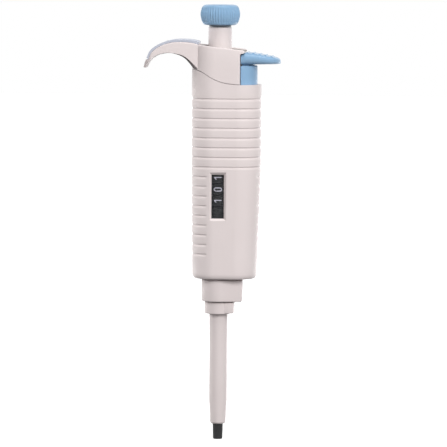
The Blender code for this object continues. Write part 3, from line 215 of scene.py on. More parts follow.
class Wire:
    """A node socket that does arithmetic: an expression on it adds Math nodes to its tree."""

    def __init__(self, tree, socket):
        self.tree = tree
        self.socket = socket

    def math(self, operation, *others):
        node = self.tree.nodes.new("ShaderNodeMath")
        node.operation = operation
        for slot, value in zip(node.inputs, (self, *others)):
            plug(self.tree, value, slot)
        return Wire(self.tree, node.outputs[0])

    def __add__(self, other):
        return self.math("ADD", other)

    def __sub__(self, other):
        return self.math("SUBTRACT", other)

    def __mul__(self, other):
        return self.math("MULTIPLY", other)

    def __truediv__(self, other):
        return self.math("DIVIDE", other)

    def __rsub__(self, other):
        return lift(self.tree, other).math("SUBTRACT", self)

    def __rtruediv__(self, other):
        return lift(self.tree, other).math("DIVIDE", self)

    __radd__ = __add__
    __rmul__ = __mul__

    def between(self, low, high):
        """0 below low, 1 above high and an eased slope between them."""
        return Tree(self.tree).add("ShaderNodeMapRange", {"interpolation_type": "SMOOTHSTEP"},
                                   Value=self, From_Min=low, From_Max=high)


def plug(tree, value, slot):
    """Feeds a wire into a socket, or sets the socket to a plain value or an opaque colour."""
    if isinstance(value, Wire):
        tree.links.new(value.socket, slot)
    else:
        slot.default_value = (*value, 1.0) if slot.type == "RGBA" else value


def lift(tree, number):
    node = tree.nodes.new("ShaderNodeValue")
    node.outputs[0].default_value = number
    return Wire(tree, node.outputs[0])


class Tree:
    """A node tree that is being written, with one method for every kind of node."""

    def __init__(self, tree):
        self.tree = tree

    def add(self, kind, settings=None, out=0, **values):
        """Makes a node from its settings and its sockets, named with _ in place of a space."""
        node = self.tree.nodes.new(kind)
        for name, value in (settings or {}).items():
            setattr(node, name, value)
        for name, value in values.items():
            slot = [entry for entry in node.inputs
                    if entry.enabled and entry.name == name.replace("_", " ")][0]
            plug(self.tree, value, slot)
        outputs = [entry for entry in node.outputs if entry.enabled]
        chosen = outputs[out] if isinstance(out, int) else node.outputs[out]
        return Wire(self.tree, chosen)

    def vector(self, operation, first, second):
        node = self.tree.nodes.new("ShaderNodeVectorMath")
        node.operation = operation
        plug(self.tree, first, node.inputs[0])
        plug(self.tree, second, node.inputs[1])
        return Wire(self.tree, node.outputs[0])

    def axes(self, place):
        """A vector's X, Y and Z."""
        split = self.tree.nodes.new("ShaderNodeSeparateXYZ")
        plug(self.tree, place, split.inputs[0])
        return [Wire(self.tree, entry) for entry in split.outputs]


# Finishes

class Finish(Tree):
    """A material's tree: patterns in object coordinates, ending in one Principled shader."""

    def __init__(self, name):
        self.material = bpy.data.materials.new(name)
        self.material.use_nodes = True
        super().__init__(self.material.node_tree)
        self.tree.nodes.clear()
        self.place = self.add("ShaderNodeTexCoord", out="Object")

    def noise(self, size, detail=2.0, rough=0.5, stretch=(1.0, 1.0, 1.0)):
        """Noise from 0 to 1 whose grains are about size across."""
        spread = tuple(1.0 / (size * part) for part in stretch)
        return self.add("ShaderNodeTexNoise", Vector=self.vector("MULTIPLY", self.place, spread),
                        Scale=1.0, Detail=detail, Roughness=rough)

    def blend(self, share, first, second):
        """A colour between two colours."""
        return self.add("ShaderNodeMix", {"data_type": "RGBA"}, Factor=share, A=first, B=second)

    def bump(self, height, depth):
        return self.add("ShaderNodeBump", Height=height, Distance=depth, Strength=1.0)

    def close(self, colour, roughness, **values):
        """Ends the tree in a Principled shader and gives back the material."""
        shader = self.add("ShaderNodeBsdfPrincipled", Base_Color=colour, Roughness=roughness,
                          **values)
        output = self.tree.nodes.new("ShaderNodeOutputMaterial")
        plug(self.tree, shader, output.inputs["Surface"])
        return self.material


COAT_GLOSS = 0.2
# Colour of the painted shade in the cap's dish.
DISH_PAINTED_SHADE = (0.25, 0.24, 0.215)
# Colour of the painted shade under the hook; the hook's end gets it at half strength.
HOOK_PAINTED_SHADE = (0.1, 0.082, 0.084)


def dish_shade_mask(f):
    """1 on the sunk part of the cap's top, where shade is painted, 0 on its rim and everywhere
    else.
    """
    x, y, z = f.axes(f.place)
    left, right, half = GRIP_ENDS
    middle = (left + right) / 2.0
    past = ((x - middle).math("ABSOLUTE") - (right - middle - half)).math("MAXIMUM", 0.0)
    reach = (past * past + y * y).math("SQRT")
    rim = half - CAP_RIM
    inner = 1.0 - reach.between(rim - 0.4 * MM, rim)
    high = (z + x * CAP_SLOPE).between(CAP_TOP - 2.4 * MM, CAP_TOP - 1.8 * MM)
    return inner * high * x.between(-11.3 * MM, -11.1 * MM)


def hook_shade_mask(f):
    """Where the hook is darkened: painted shade on its underside, fading towards its end, and the
    end itself, darkened at half strength.
    """
    x = f.axes(f.place)[0]
    down = f.add("ShaderNodeAttribute", {"attribute_name": "facing_down"}, out="Fac")
    down = down.between(0.3, 0.7)
    under = down * x.between(-42.0 * MM, -22.0 * MM) * (1.0 - x.between(-11.0 * MM, -10.0 * MM))
    end = 1.0 - x.between(-41.0 * MM, -36.0 * MM)
    return under.math("MAXIMUM", end * 0.5)


def moulded(name, colour, rub, gloss, shine=0.5, coat=0.0, hooked=False):
    """Moulded plastic: fine spark-eroded grain, slow waves, handling marks and painted shade in
    hollows.

    rub is the colour of rubbed spots, gloss the roughness, shine the strength of its mirror and
    coat the share of a smooth skin over it. A hooked one has painted shade in the cap's dish
    and under its hook, and a darker hook end.
    """
    f = Finish(name)
    cloud = f.noise(18.0 * MM, 3.0)
    speck = f.noise(1.1 * MM, 2.0)
    fine = f.noise(0.32 * MM, 1.0)
    smear = f.noise(9.0 * MM, 4.0, 0.62, stretch=(1.0, 1.0, 2.6)).between(0.46, 0.66)
    hollow = f.add("ShaderNodeAmbientOcclusion", {"samples": 4, "only_local": True},
                   out="AO", Distance=2.2 * MM)
    dull = f.blend(cloud.between(0.3, 0.7) * 0.5 + speck * 0.12, colour, rub)
    # Painted shade: a darker copy of the colour where ambient occlusion finds hollows.
    hollow_shade = tuple(part * 0.86 for part in colour)
    worn_and_shaded = f.blend((1.0 - hollow.between(0.3, 0.95)) * 0.55, dull, hollow_shade)
    polish = gloss + (speck - 0.5) * 0.06 - smear * 0.055 + (1.0 - hollow) * 0.12
    if hooked:
        # Painted shade in the cap's dish and under the hook, and a darker hook end; there the hook
        # is rougher and has no coat.
        hook_shade = hook_shade_mask(f)
        worn_and_shaded = f.blend(dish_shade_mask(f) * 0.9, worn_and_shaded, DISH_PAINTED_SHADE)
        worn_and_shaded = f.blend(hook_shade * 0.95, worn_and_shaded, HOOK_PAINTED_SHADE)
        polish = polish + hook_shade * (0.9 - gloss)
        coat = (1.0 - hook_shade) * coat
    height = fine * 0.75 + speck * 0.5 + cloud * 4.0
    return f.close(worn_and_shaded, polish, Normal=f.bump(height, 0.02 * MM), Specular_IOR_Level=shine,
                   Coat_Weight=coat, Coat_Roughness=COAT_GLOSS)


def metal(name, colour, gloss):
    """Machined metal: fine tool marks across the turning axis, a few stains."""
    f = Finish(name)
    marks = f.noise(2.0 * MM, 3.0, 0.7, stretch=(1.0, 1.0, 0.04))
    stain = f.noise(5.0 * MM, 3.0).between(0.45, 0.75)
    tint = f.blend(stain * 0.5, colour, tuple(part * 0.8 for part in colour))
    return f.close(tint, gloss + marks * 0.14 + stain * 0.08, Normal=f.bump(marks, 0.01 * MM),
                   Metallic=1.0)


def rubber(name, colour):
    f = Finish(name)
    skin = f.noise(0.5 * MM, 3.0)
    bloom = f.noise(4.0 * MM, 2.0).between(0.4, 0.8)
    tint = f.blend(bloom * 0.4, colour, tuple(part * 1.8 + 0.02 for part in colour))
    return f.close(tint, 0.6 + skin * 0.25, Normal=f.bump(skin, 0.02 * MM))


def clear(name):
    """Clear window: seen through when looked at squarely, shiny at a slant, lightly hazed."""
    f = Finish(name)
    haze = f.noise(1.5 * MM, 4.0, 0.7)
    slant = f.add("ShaderNodeFresnel", IOR=1.5)
    cover = slant * 0.25 + haze * 0.01
    return f.close((0.6, 0.62, 0.66), 0.06 + haze * 0.12, Alpha=cover)


def printed(name, colour):
    f = Finish(name)
    ink = f.noise(0.35 * MM, 3.0)
    tint = f.blend(ink * 0.35, colour, tuple(part * 0.82 for part in colour))
    return f.close(tint, 0.5 + ink * 0.2, Normal=f.bump(ink, 0.008 * MM))


WHITE_COLOURS = ((0.74, 0.66, 0.652), (0.77, 0.692, 0.684))
WHITE = moulded("white satin plastic", *WHITE_COLOURS, 0.42, shine=0.2, coat=0.4)
CAP = moulded("white satin plastic of the cap", *WHITE_COLOURS, 0.42, shine=0.2, coat=0.4,
              hooked=True)
BLUE = moulded("light blue satin plastic", (0.23, 0.39, 0.575), (0.255, 0.425, 0.61), 0.3,
               shine=0.3, coat=0.3)
PALE = moulded("pale blue soft plastic", (0.48, 0.5, 0.58), (0.53, 0.55, 0.63), 0.42)
LOCK = moulded("blue grey ring plastic", (0.1, 0.115, 0.135), (0.12, 0.135, 0.155), 0.5)
BLACK = moulded("black drum plastic", (0.01, 0.01, 0.011), (0.016, 0.016, 0.018), 0.45,
                shine=0.2)
DARK = moulded("dark grey cone plastic", (0.022, 0.022, 0.0235), (0.03, 0.03, 0.032), 0.5,
               shine=0.25)
GREY = moulded("grey chassis plastic", (0.24, 0.24, 0.26), (0.27, 0.27, 0.29), 0.5)
STEEL = metal("polished steel", (0.6, 0.6, 0.62), 0.16)
BRASS = metal("turned brass", (0.7, 0.53, 0.27), 0.22)
RUBBER = rubber("black seal rubber", (0.025, 0.025, 0.025))
CLEAR = clear("clear window plastic")
INK = printed("pale figure print", (0.72, 0.71, 0.82))

SLOTS = {
    "white_plastic": WHITE, "blue_plastic": BLUE, "pale_blue_plastic": PALE,
    "black_plastic": BLACK, "dark_grey_plastic": DARK, "clear_plastic": CLEAR,
    "polished_steel": STEEL, "turned_brass": BRASS, "seal_rubber": RUBBER,
    "grey_chassis_plastic": GREY,
}
for part in frame["record"]["subparts"]:
    mesh = frame["nodes"][part["node"]].data
    mesh.materials.clear()
    mesh.materials.append(SLOTS[part["material_slot"]])


# Making of shapes

def metres(points):
    return [tuple(part * MM for part in point) for point in points]


def arc(start, end, steps):
    """Cosine and sine of even steps from one angle to another, counted in quarter turns."""
    angles = (math.pi / 2.0 * (start + (end - start) * step / steps) for step in range(steps + 1))
    return [(math.cos(angle), math.sin(angle)) for angle in angles]


def link(name, data):
    made = bpy.data.objects.new(name, data)
    bpy.context.scene.collection.objects.link(made)
    return made


def solid(name, shape):
    """A finished bmesh as a new object."""
    mesh = bpy.data.meshes.new(name)
    shape.to_mesh(mesh)
    shape.free()
    return link(name, mesh)


def bake(body):
    """The welded mesh that an object's modifiers make, as a new object in the old one's place."""
    bpy.context.view_layer.update()
    graph = bpy.context.evaluated_depsgraph_get()
    mesh = bpy.data.meshes.new_from_object(body.evaluated_get(graph))
    mesh.transform(body.matrix_world)
    shape = bmesh.new()
    shape.from_mesh(mesh)
    bmesh.ops.remove_doubles(shape, verts=shape.verts, dist=WELD)
    bmesh.ops.dissolve_degenerate(shape, edges=shape.edges, dist=WELD * 0.1)
    bmesh.ops.recalc_face_normals(shape, faces=shape.faces)
    shape.to_mesh(mesh)
    shape.free()
    made = link(body.name, mesh)
    bpy.data.objects.remove(body, do_unlink=True)
    return made


def combine(body, operation, others):
    """Cuts other solids from a solid or joins them to it."""
    for other in others:
        step = body.modifiers.new(operation.lower(), "BOOLEAN")
        step.operation = operation
        step.solver = "EXACT"
        step.object = other
    made = bake(body)
    for other in others:
        bpy.data.objects.remove(other, do_unlink=True)
    return made


def fillet(points, radius, parts=4, closed=True):
    """A line of (first, second) points whose corners are rounded off."""
    line = []
    count = len(points)
    for index, corner in enumerate(points):
        here = Vector(corner)
        to_last = Vector(points[index - 1]) - here
        to_next = Vector(points[(index + 1) % count]) - here
        turn = math.pi - to_last.angle(to_next)
        if turn < 0.12 or (not closed and index in (0, count - 1)):
            line.append(tuple(here))
            continue
        reach = min(radius * math.tan(turn / 2.0), to_last.length * 0.45, to_next.length * 0.45)
        start = here + to_last.normalized() * reach
        end = here + to_next.normalized() * reach
        for step in range(parts + 1):
            share = step / parts
            line.append(tuple(start.lerp(here, share).lerp(here.lerp(end, share), share)))
    return line


def turned(name, profile, steps=96, closed=True):
    """A profile of (radius, height) points turned about the Z axis."""
    count = len(profile)
    edges = [(index, index + 1) for index in range(count - 1)]
    if closed:
        edges.append((count - 1, 0))
    mesh = bpy.data.meshes.new(name)
    mesh.from_pydata([(radius, 0.0, height) for radius, height in profile], edges, [])
    body = link(name, mesh)
    screw = body.modifiers.new("turn", "SCREW")
    screw.steps = steps
    screw.render_steps = steps
    screw.use_merge_vertices = True
    screw.merge_threshold = WELD
    return bake(body)


def cylinder(name, radius, low, high, steps=96):
    return turned(name, [(0.0, high), (radius, high), (radius, low), (0.0, low)], steps, False)


def block(name, low, high):
    shape = bmesh.new()
    bmesh.ops.create_cube(shape, size=1.0)
    span = Vector(high) - Vector(low)
    middle = (Vector(low) + Vector(high)) / 2.0
    bmesh.ops.scale(shape, vec=span, verts=shape.verts)
    bmesh.ops.translate(shape, vec=middle, verts=shape.verts)
    return solid(name, shape)


def skin(name, rings):
    """Rings with the same number of points, joined one to the next and closed at both ends."""
    shape = bmesh.new()
    rows = [[shape.verts.new(point) for point in ring] for ring in rings]
    count = len(rings[0])
    for lower, upper in zip(rows, rows[1:]):
        for index in range(count):
            after = (index + 1) % count
            shape.faces.new((lower[index], lower[after], upper[after], upper[index]))
    shape.faces.new(list(reversed(rows[0])))
    shape.faces.new(rows[-1])
    bmesh.ops.recalc_face_normals(shape, faces=shape.faces)
    return solid(name, shape)


def slab(name, outline, low, high, upright=False):
    """An outline given thickness: in Z, or in Y when it is upright (X, Z)."""
    if upright:
        rings = [[(x, depth, z) for x, z in outline] for depth in (low, high)]
    else:
        rings = [[(x, y, height) for x, y in outline] for height in (low, high)]
    return skin(name, rings)


def softened(body, width, parts=3, angle=35.0):
    """Rounds a body's sharp edges."""
    edge = body.modifiers.new("edge", "BEVEL")
    edge.width = width
    edge.segments = parts
    edge.limit_method = "ANGLE"
    edge.angle_limit = math.radians(angle)
    edge.use_clamp_overlap = True
    return bake(body)


def smooth_line(points, parts):
    """Points in metres along a smooth curve through given points in millimetres."""
    last = len(points) - 1
    line = []
    for index in range(last):
        four = [points[max(index - 1, 0)], points[index], points[index + 1],
                points[min(index + 2, last)]]
        for step in range(parts):
            t = step / parts
            line.append(tuple(
                0.5 * (2.0 * b + (c - a) * t + (2.0 * a - 5.0 * b + 4.0 * c - d) * t * t
                       + (3.0 * b - a - 3.0 * c + d) * t * t * t) * MM
                for a, b, c, d in zip(*four)))
    return line + metres(points[-1:])


def oval(left, right, half, steps=56):
    """Points (X, Y) round an oval with two half-round ends and straight sides between them."""
    points = []
    for centre, other, start, side in ((right - half, left + half, -1, half),
                                       (left + half, right - half, 1, -half)):
        points += [(centre + half * x, half * y) for x, y in arc(start, start + 2, steps)]
        for index in range(1, 5):
            points.append((centre + (other - centre) * index / 5.0, side))
    return points


def grip_size(height, inset):
    share = (height - GRIP_BOTTOM) / (GRIP_TAPER_TOP - GRIP_BOTTOM)
    share = max(0.0, min(1.0, share))
    left, right, half = (foot + (top - foot) * share
                         for foot, top in zip(FOOT_ENDS, GRIP_ENDS))
    return left + inset, right - inset, half - inset


def grip_ring(height, inset=0.0):
    return [(x, y, height) for x, y in oval(*grip_size(height, inset))]


def clipped_oval(left, right, half, cut_x):
    """An oval whose round end on the ejector side is cut off flat at cut_x."""
    reach = math.sqrt(half ** 2 - (cut_x - right + half) ** 2)
    kept = [(x, y) for x, y in oval(left, right, half) if x < cut_x - 0.05 * MM]
    first = next(index for index, (x, y) in enumerate(kept) if y > 0.0)
    return kept[first:] + kept[:first] + [(cut_x, -reach), (cut_x, reach)]


def seam_solid(name, shift, below):
    """Everything below the seam, or everything above it."""
    line = [(x, z + shift) for x, z in smooth_line(SEAM, 12)]
    far = GRIP_BOTTOM - PAST if below else GRIP_TOP + 20.0 * MM
    left = GRIP_ENDS[0] - 40.0 * MM
    right = GRIP_ENDS[1] + 4.0 * MM
    outline = [(left, far), (left, line[0][1]), *line, (right, line[-1][1]), (right, far)]
    return slab(name, outline, -ACROSS, ACROSS, upright=True)


# Repeats, written as geometry node trees

class Pattern(Tree):
    """A geometry node tree with named inputs that ends in Realize Instances and Set Material."""

    def __init__(self, name, **sizes):
        group = bpy.data.node_groups.new(name, "GeometryNodeTree")
        super().__init__(group)
        face = group.interface
        face.new_socket("Geometry", in_out="INPUT", socket_type="NodeSocketGeometry")
        self.keys = {}
        for label, value in sizes.items():
            entry = face.new_socket(label, in_out="INPUT", socket_type="NodeSocketFloat")
            self.keys[label] = (entry.identifier, value)
        face.new_socket("Geometry", in_out="OUTPUT", socket_type="NodeSocketGeometry")
        self.source = group.nodes.new("NodeGroupInput")
        self.body = Wire(group, self.source.outputs["Geometry"])
        self.x, self.y, self.z = self.axes(self.add("GeometryNodeInputPosition"))

    def size(self, label):
        return Wire(self.tree, self.source.outputs[label])

    def point(self, x, y, z):
        return self.add("ShaderNodeCombineXYZ", X=x, Y=y, Z=z)

    def run(self, body, shape, material):
        """Puts the tree on a body, makes its result a plain mesh and takes the tree off."""
        real = self.add("GeometryNodeRealizeInstances", Geometry=shape)
        painted = self.add("GeometryNodeSetMaterial", Geometry=real, Material=material)
        sink = self.tree.nodes.new("NodeGroupOutput")
        self.tree.links.new(painted.socket, sink.inputs[0])
        step = body.modifiers.new(self.tree.name, "NODES")
        step.node_group = self.tree
        for identifier, value in self.keys.values():
            step[identifier] = value
        return bake(body)


def grooved(body):
    """Presses the grooves into the grip and crowns the bands between them."""
    p = Pattern("grip grooves", Top=GROOVE_TOP, Pitch=GROOVE_PITCH, Count=float(GROOVE_COUNT),
                All_round=float(GROOVES_ALL_ROUND), Upper=0.55 * MM, Lower=1.1 * MM,
                Depth=0.36 * MM, Crown=0.1 * MM)
    pitch = p.size("Pitch")
    level = (p.size("Top") - p.z) / pitch
    nearest = level.math("ROUND").math("MAXIMUM", 0.0).math("MINIMUM", p.size("Count") - 1.0)
    below = (level - nearest) * pitch
    away = below.math("ABSOLUTE")
    notch = (1.0 - (below / p.size("Lower")).math("MAXIMUM", below * -1.0 / p.size("Upper")))
    notch = notch.math("MAXIMUM", 0.0)
    crown = (1.0 - away * 2.0 / pitch).math("MAXIMUM", 0.0)
    depth = notch * p.size("Depth") + crown * crown * p.size("Crown")
    strip = 1.0 - p.x.between(PANEL[0] - 0.5 * MM, PANEL[0] + 0.3 * MM)
    rear = p.x.between(PANEL[1] - 0.3 * MM, PANEL[1] + 0.5 * MM)
    everywhere = nearest.math("LESS_THAN", p.size("All_round") - 0.5)
    mask = everywhere.math("MAXIMUM", strip.math("MAXIMUM", rear))
    flat = p.vector("MULTIPLY", p.add("GeometryNodeInputNormal"), (1.0, 1.0, 0.0))
    outward = p.add("ShaderNodeVectorMath", {"operation": "NORMALIZE"}, Vector=flat)
    shift = p.add("ShaderNodeVectorMath", {"operation": "SCALE"}, Vector=outward,
                  Scale=depth * mask * -1.0)
    return p.run(body, p.add("GeometryNodeSetPosition", Geometry=p.body, Offset=shift), WHITE)


def fluted(body, label, count, depth, core, low, high, fade, material):
    """Presses upright flutes into a turned body between two heights, outside its core."""
    p = Pattern(label, Count=float(count), Depth=depth, Core=core, Low=low, High=high, Fade=fade)
    angle = p.y.math("ARCTAN2", p.x)
    wave = (angle * p.size("Count")).math("COSINE") * -0.5 + 0.5
    rise = p.z.between(p.size("Low"), p.size("Low") + p.size("Fade"))
    fall = 1.0 - p.z.between(p.size("High") - p.size("Fade"), p.size("High"))
    radius = (p.x * p.x + p.y * p.y).math("SQRT")
    outer = radius.between(p.size("Core"), p.size("Core") + 0.7 * MM)
    pull = 1.0 - wave * rise * fall * outer * p.size("Depth") / radius
    place = p.point(p.x * pull, p.y * pull, p.z)
    moved = p.add("GeometryNodeSetPosition", Geometry=p.body, Position=place)
    return p.run(body, moved, material)


def wrapped(body, label, height):
    """Wraps flat figures (X along the drum's rim, Y up its axis, Z outwards) round a drum."""
    p = Pattern(label, Radius=DRUM_R, Height=height, Turn=-math.pi / 2.0)
    angle = p.x / p.size("Radius") + p.size("Turn")
    reach = p.size("Radius") + p.z
    place = p.point(angle.math("COSINE") * reach, angle.math("SINE") * reach,
                    p.y + p.size("Height"))
    moved = p.add("GeometryNodeSetPosition", Geometry=p.body, Position=place)
    return p.run(body, moved, INK)


def ridged(body, line):
    """Joins rounded bars to the top of the thumb plate, one at each step along it."""
    p = Pattern("thumb ridges", First=RIDGE_FIRST_X, Pitch=RIDGE_PITCH, Radius=RIDGE_RADIUS,
                Half=RIDGE_HALF, Sink=RIDGE_SINK)
    rail = p.add("GeometryNodeMeshLine", {"mode": "OFFSET"}, Count=RIDGE_COUNT,
                 Start_Location=p.point(p.size("First"), 0.0, 0.0),
                 Offset=p.point(p.size("Pitch"), 0.0, 0.0))
    start = line[0][0]
    reach = line[-1][0] - start
    height = p.add("ShaderNodeFloatCurve", Value=(p.x - start) / reach)
    mapping = height.socket.node.mapping
    knots = mapping.curves[0].points
    span = line[0][1] - EJECTOR_UNDER + 2.0 * MM
    chosen = line[::3] + [line[-1]]
    while len(knots) < len(chosen):
        knots.new(0.5, 0.5)
    for knot, (x, z) in zip(knots, chosen):
        knot.location = ((x - start) / reach, (z - EJECTOR_UNDER) / span)
    mapping.update()
    place = p.point(p.x, 0.0, height * span + EJECTOR_UNDER - p.size("Sink"))
    placed = p.add("GeometryNodeSetPosition", Geometry=rail, Position=place)
    bar = p.add("GeometryNodeMeshCylinder", Vertices=24, Radius=1.0, Depth=2.0)
    shaped = p.add("GeometryNodeTransform", Geometry=bar, Rotation=(math.pi / 2.0, 0.0, 0.0),
                   Scale=p.point(p.size("Radius"), p.size("Radius"), p.size("Half")))
    bars = p.add("GeometryNodeInstanceOnPoints", Points=placed, Instance=shaped)
    bars = p.add("GeometryNodeRealizeInstances", Geometry=bars)
    union = p.tree.nodes.new("GeometryNodeMeshBoolean")
    union.operation = "UNION"
    union.solver = "EXACT"
    meshes = union.inputs["Mesh 2"]
    p.tree.links.new(p.body.socket, meshes)
    p.tree.links.new(bars.socket, meshes)
    return p.run(body, Wire(p.tree, union.outputs[0]), BLUE)


# Pieces

def piece(body, name, rides, stands_for, material, angle=35.0):
    """Names a finished piece, gives it its finish, hangs it on its body and hides the parts it
    stands for.
    """
    body.name = name
    body.data.name = name
    body.data.materials.clear()
    body.data.materials.append(material)
    body.data.shade_smooth()
    body.data.set_sharp_from_angle(angle=math.radians(angle))
    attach(body, rides)
    if stands_for:
        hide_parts(*stands_for)
    return body


def make_grip():
    rings = [grip_ring(GRIP_BOTTOM + FOOT_ROUND * (1.0 - x), FOOT_ROUND * 0.5 * (1.0 - y))
             for x, y in arc(0, 1, 8)]
    rings += [grip_ring(height) for height in GRIP_STRAIGHT_Z]
    for index in reversed(range(GROOVE_COUNT)):
        middle = GROOVE_TOP - index * GROOVE_PITCH
        rings += [grip_ring(middle + step * MM) for step in GROOVE_STEPS]
    rings += [grip_ring(GROOVE_TOP - GROOVE_STEPS[0] * MM), grip_ring(GRIP_TOP)]
    grip = grooved(skin("grip", rings))
    half_x, low, high = WINDOW
    face = -GRIP_ENDS[2]
    slope = WINDOW_FRAME / WINDOW_FRAME_DEPTH

    def frame_ring(margin, y):
        return [(-half_x - margin, y, low - margin), (half_x + margin, y, low - margin),
                (half_x + margin, y, high + margin), (-half_x - margin, y, high + margin)]

    mouth = SHOULDER_Z - 2.0 * SHOULDER_THICK
    recess = GRIP_WALL + FOOT_ROUND * 0.5
    cutters = [
        seam_solid("above seam", -FIT / 2.0, below=False),
        skin("inside", [grip_ring(FLOOR_TOP, GRIP_WALL), grip_ring(GRIP_TAPER_TOP, GRIP_WALL),
                        grip_ring(SHOULDER_Z - SHOULDER_THICK, GRIP_WALL)]),
        slab("mouth", clipped_oval(*grip_size(GRIP_TOP, GRIP_WALL), CAP_FACE_X), mouth,
             GRIP_TOP + FIT),
        slab("column hole", column_outline(FIT), mouth, GRIP_TOP),
        skin("foot recess", [grip_ring(GRIP_BOTTOM - PAST, recess),
                             grip_ring(FLOOR_BOTTOM, recess)]),
        cylinder("neck hole", FLOOR_HOLE_R, GRIP_BOTTOM, FLOOR_TOP + PAST, 48),
        block("bar slot", (BAR_X[0] - FIT, -BAR_HALF - FIT, GRIP_BOTTOM),
              (BAR_X[1] + FIT, BAR_HALF + FIT, FLOOR_TOP + PAST)),
        block("window opening", (-half_x, 2.0 * face, low), (half_x, -DRUM_R, high)),
        skin("window bevel", [frame_ring(WINDOW_FRAME + slope * PAST, face - PAST),
                              frame_ring(0.0, face + WINDOW_FRAME_DEPTH)]),
    ]
    grip = combine(grip, "DIFFERENCE", cutters)
    piece(grip, "grip_shell", "grip", ["handle_shell"], WHITE, angle=28.0)


def column_outline(gap=0.0, steps=40):
    left, right = COLUMN_X
    half = COLUMN_HALF + gap
    points = [(left + (right - left + gap) * x, half * y) for x, y in arc(-1, 1, steps)]
    if gap > 0.0:
        points = [(left - gap, -half), *points, (left - gap, half)]
    return points


def hook_ring(top, under, half, upper, belly):
    """A section across the hook: upper corners with their radius, underside bulging by belly."""
    top = Vector((top[0], 0.0, top[1]))
    under = Vector((under[0], 0.0, under[1]))
    rise = (top - under).normalized()
    height = (top - under).length
    middle = (top + under) / 2.0
    radius = min(upper, height * 0.12)
    belly = min(belly, height * 0.3)
    section = []
    for side, turn in ((1, 0), (-1, 1)):
        section += [(side * (half - radius) + radius * x, height / 2.0 - radius + radius * y)
                    for x, y in arc(turn, turn + 1, 8)]
    section += [(half * along, belly * abs(along) ** 4 - height / 2.0)
                for _, along in arc(-1, 1, 24)]
    return [middle + Vector((0.0, along, 0.0)) + rise * up for along, up in section]


def hook_lines():
    """Places along the hook: share of its length, upper point and lower point (X, Z)."""
    tops = smooth_line(HOOK_TOP, 10)
    last = len(tops) - 1
    return [(index / last, top, under)
            for index, (top, under) in enumerate(zip(tops, smooth_line(HOOK_UNDER, 10)))]


def cap_height(x, below):
    return CAP_TOP - CAP_SLOPE * x - below


def towards(start, end, distance):
    """The point at a distance from start on the way to end (X, Z)."""
    way = Vector(end) - Vector(start)
    return tuple(Vector(start) + way.normalized() * distance)


def make_cap():
    bottom = SHOULDER_Z - 2.0 * SPIGOT_HEIGHT
    profile = [(0.0, 8.0 * MM)]
    profile += [(CAP_EDGE * (1.0 - x), CAP_EDGE * (1.0 - y)) for x, y in arc(0, 1, 6)]
    profile += [(CAP_RIM - 0.2 * MM, 0.0), (CAP_RIM, 0.08 * MM)]
    profile += [(CAP_RIM + 0.35 * MM, CAP_DISH * 0.8), (CAP_RIM + 0.7 * MM, CAP_DISH)]
    rings = [grip_ring(bottom)]
    rings += [[(x, y, cap_height(x, below)) for x, y in oval(*grip_size(GRIP_TOP, inset))]
              for inset, below in profile]
    cap = skin("cap", rings)

    sections = []
    for share, top, under in hook_lines():
        edge = min(1.0, max(0.0, (share - PAD_SPAN[0]) / 0.012),
                   max(0.0, (PAD_SPAN[1] - share) / 0.012))
        root = max(0.0, 1.0 - share / 0.45)
        sections.append(hook_ring(towards(top, under, (PAD_THICK + FIT) * edge),
                                  towards(under, top, -0.7 * MM * min(1.0, 2.0 * root)),
                                  HOOK_HALF, 0.8 * MM, (0.5 + 3.0 * root) * MM))
    cap = combine(cap, "UNION", [skin("hook", sections)])

    inside = clipped_oval(*grip_size(GRIP_TOP, CAP_WALL), CAP_FACE_X - CAP_WALL)
    lip_under = cap_height(CAP_LIP_X, CAP_LIP_THICK)
    far = GRIP_ENDS[1] + PAST
    above = CAP_TOP + 3.0 * MM
    side = [(CAP_FACE_X, bottom - PAST), (far, bottom - PAST), (far, above),
            (CAP_LIP_X - CAP_LIP_ROUND, above)]
    side += [(CAP_LIP_X - CAP_LIP_ROUND * (1.0 - x),
              cap_height(CAP_LIP_X, CAP_LIP_ROUND * (1.0 - y))) for x, y in arc(1, 0, 8)]
    side += [(CAP_LIP_X, lip_under), (CAP_FACE_X, lip_under - CAP_LIP_FALL)]
    cap = combine(cap, "DIFFERENCE", [
        seam_solid("below seam", FIT / 2.0, below=True),
        skin("cap inside", [[(x, y, bottom - PAST) for x, y in inside],
                            [(x, y, cap_height(x, CAP_ROOF)) for x, y in inside]]),
        slab("button side", side, -ACROSS, ACROSS, upright=True),
    ])

    outside = clipped_oval(*grip_size(GRIP_TOP, GRIP_WALL + FIT), CAP_FACE_X - FIT)
    hollow = clipped_oval(*grip_size(GRIP_TOP, GRIP_WALL + FIT + SPIGOT_WALL),
                          CAP_FACE_X - FIT - SPIGOT_WALL)
    spigot = slab("spigot", outside, bottom, SEAM[0][1] * MM + 3.0 * MM)
    spigot = combine(spigot, "DIFFERENCE", [
        slab("spigot inside", hollow, bottom - PAST, GRIP_TOP),
        seam_solid("below spigot", -SPIGOT_HEIGHT, below=True)])
    bore = NECK_R + FIT
    guide = cylinder("neck guide", bore + GUIDE_WALL, CAP_TOP - GUIDE_LENGTH,
                     CAP_TOP - CAP_ROOF * 0.5)
    cap = combine(cap, "UNION", [spigot, guide])
    cap = combine(cap, "DIFFERENCE", [
        cylinder("neck bore", bore, CAP_TOP - GUIDE_LENGTH - PAST, CAP_TOP + 5.0 * MM)])
    # How far each face looks down, read by the painted shade under the hook.
    facing = cap.data.attributes.new("facing_down", "FLOAT", "FACE")
    for mark, face in zip(facing.data, cap.data.polygons):
        mark.value = max(0.0, -face.normal.z)
    piece(cap, "cap_with_hook", "grip", ["top_cap"], CAP, angle=32.0)


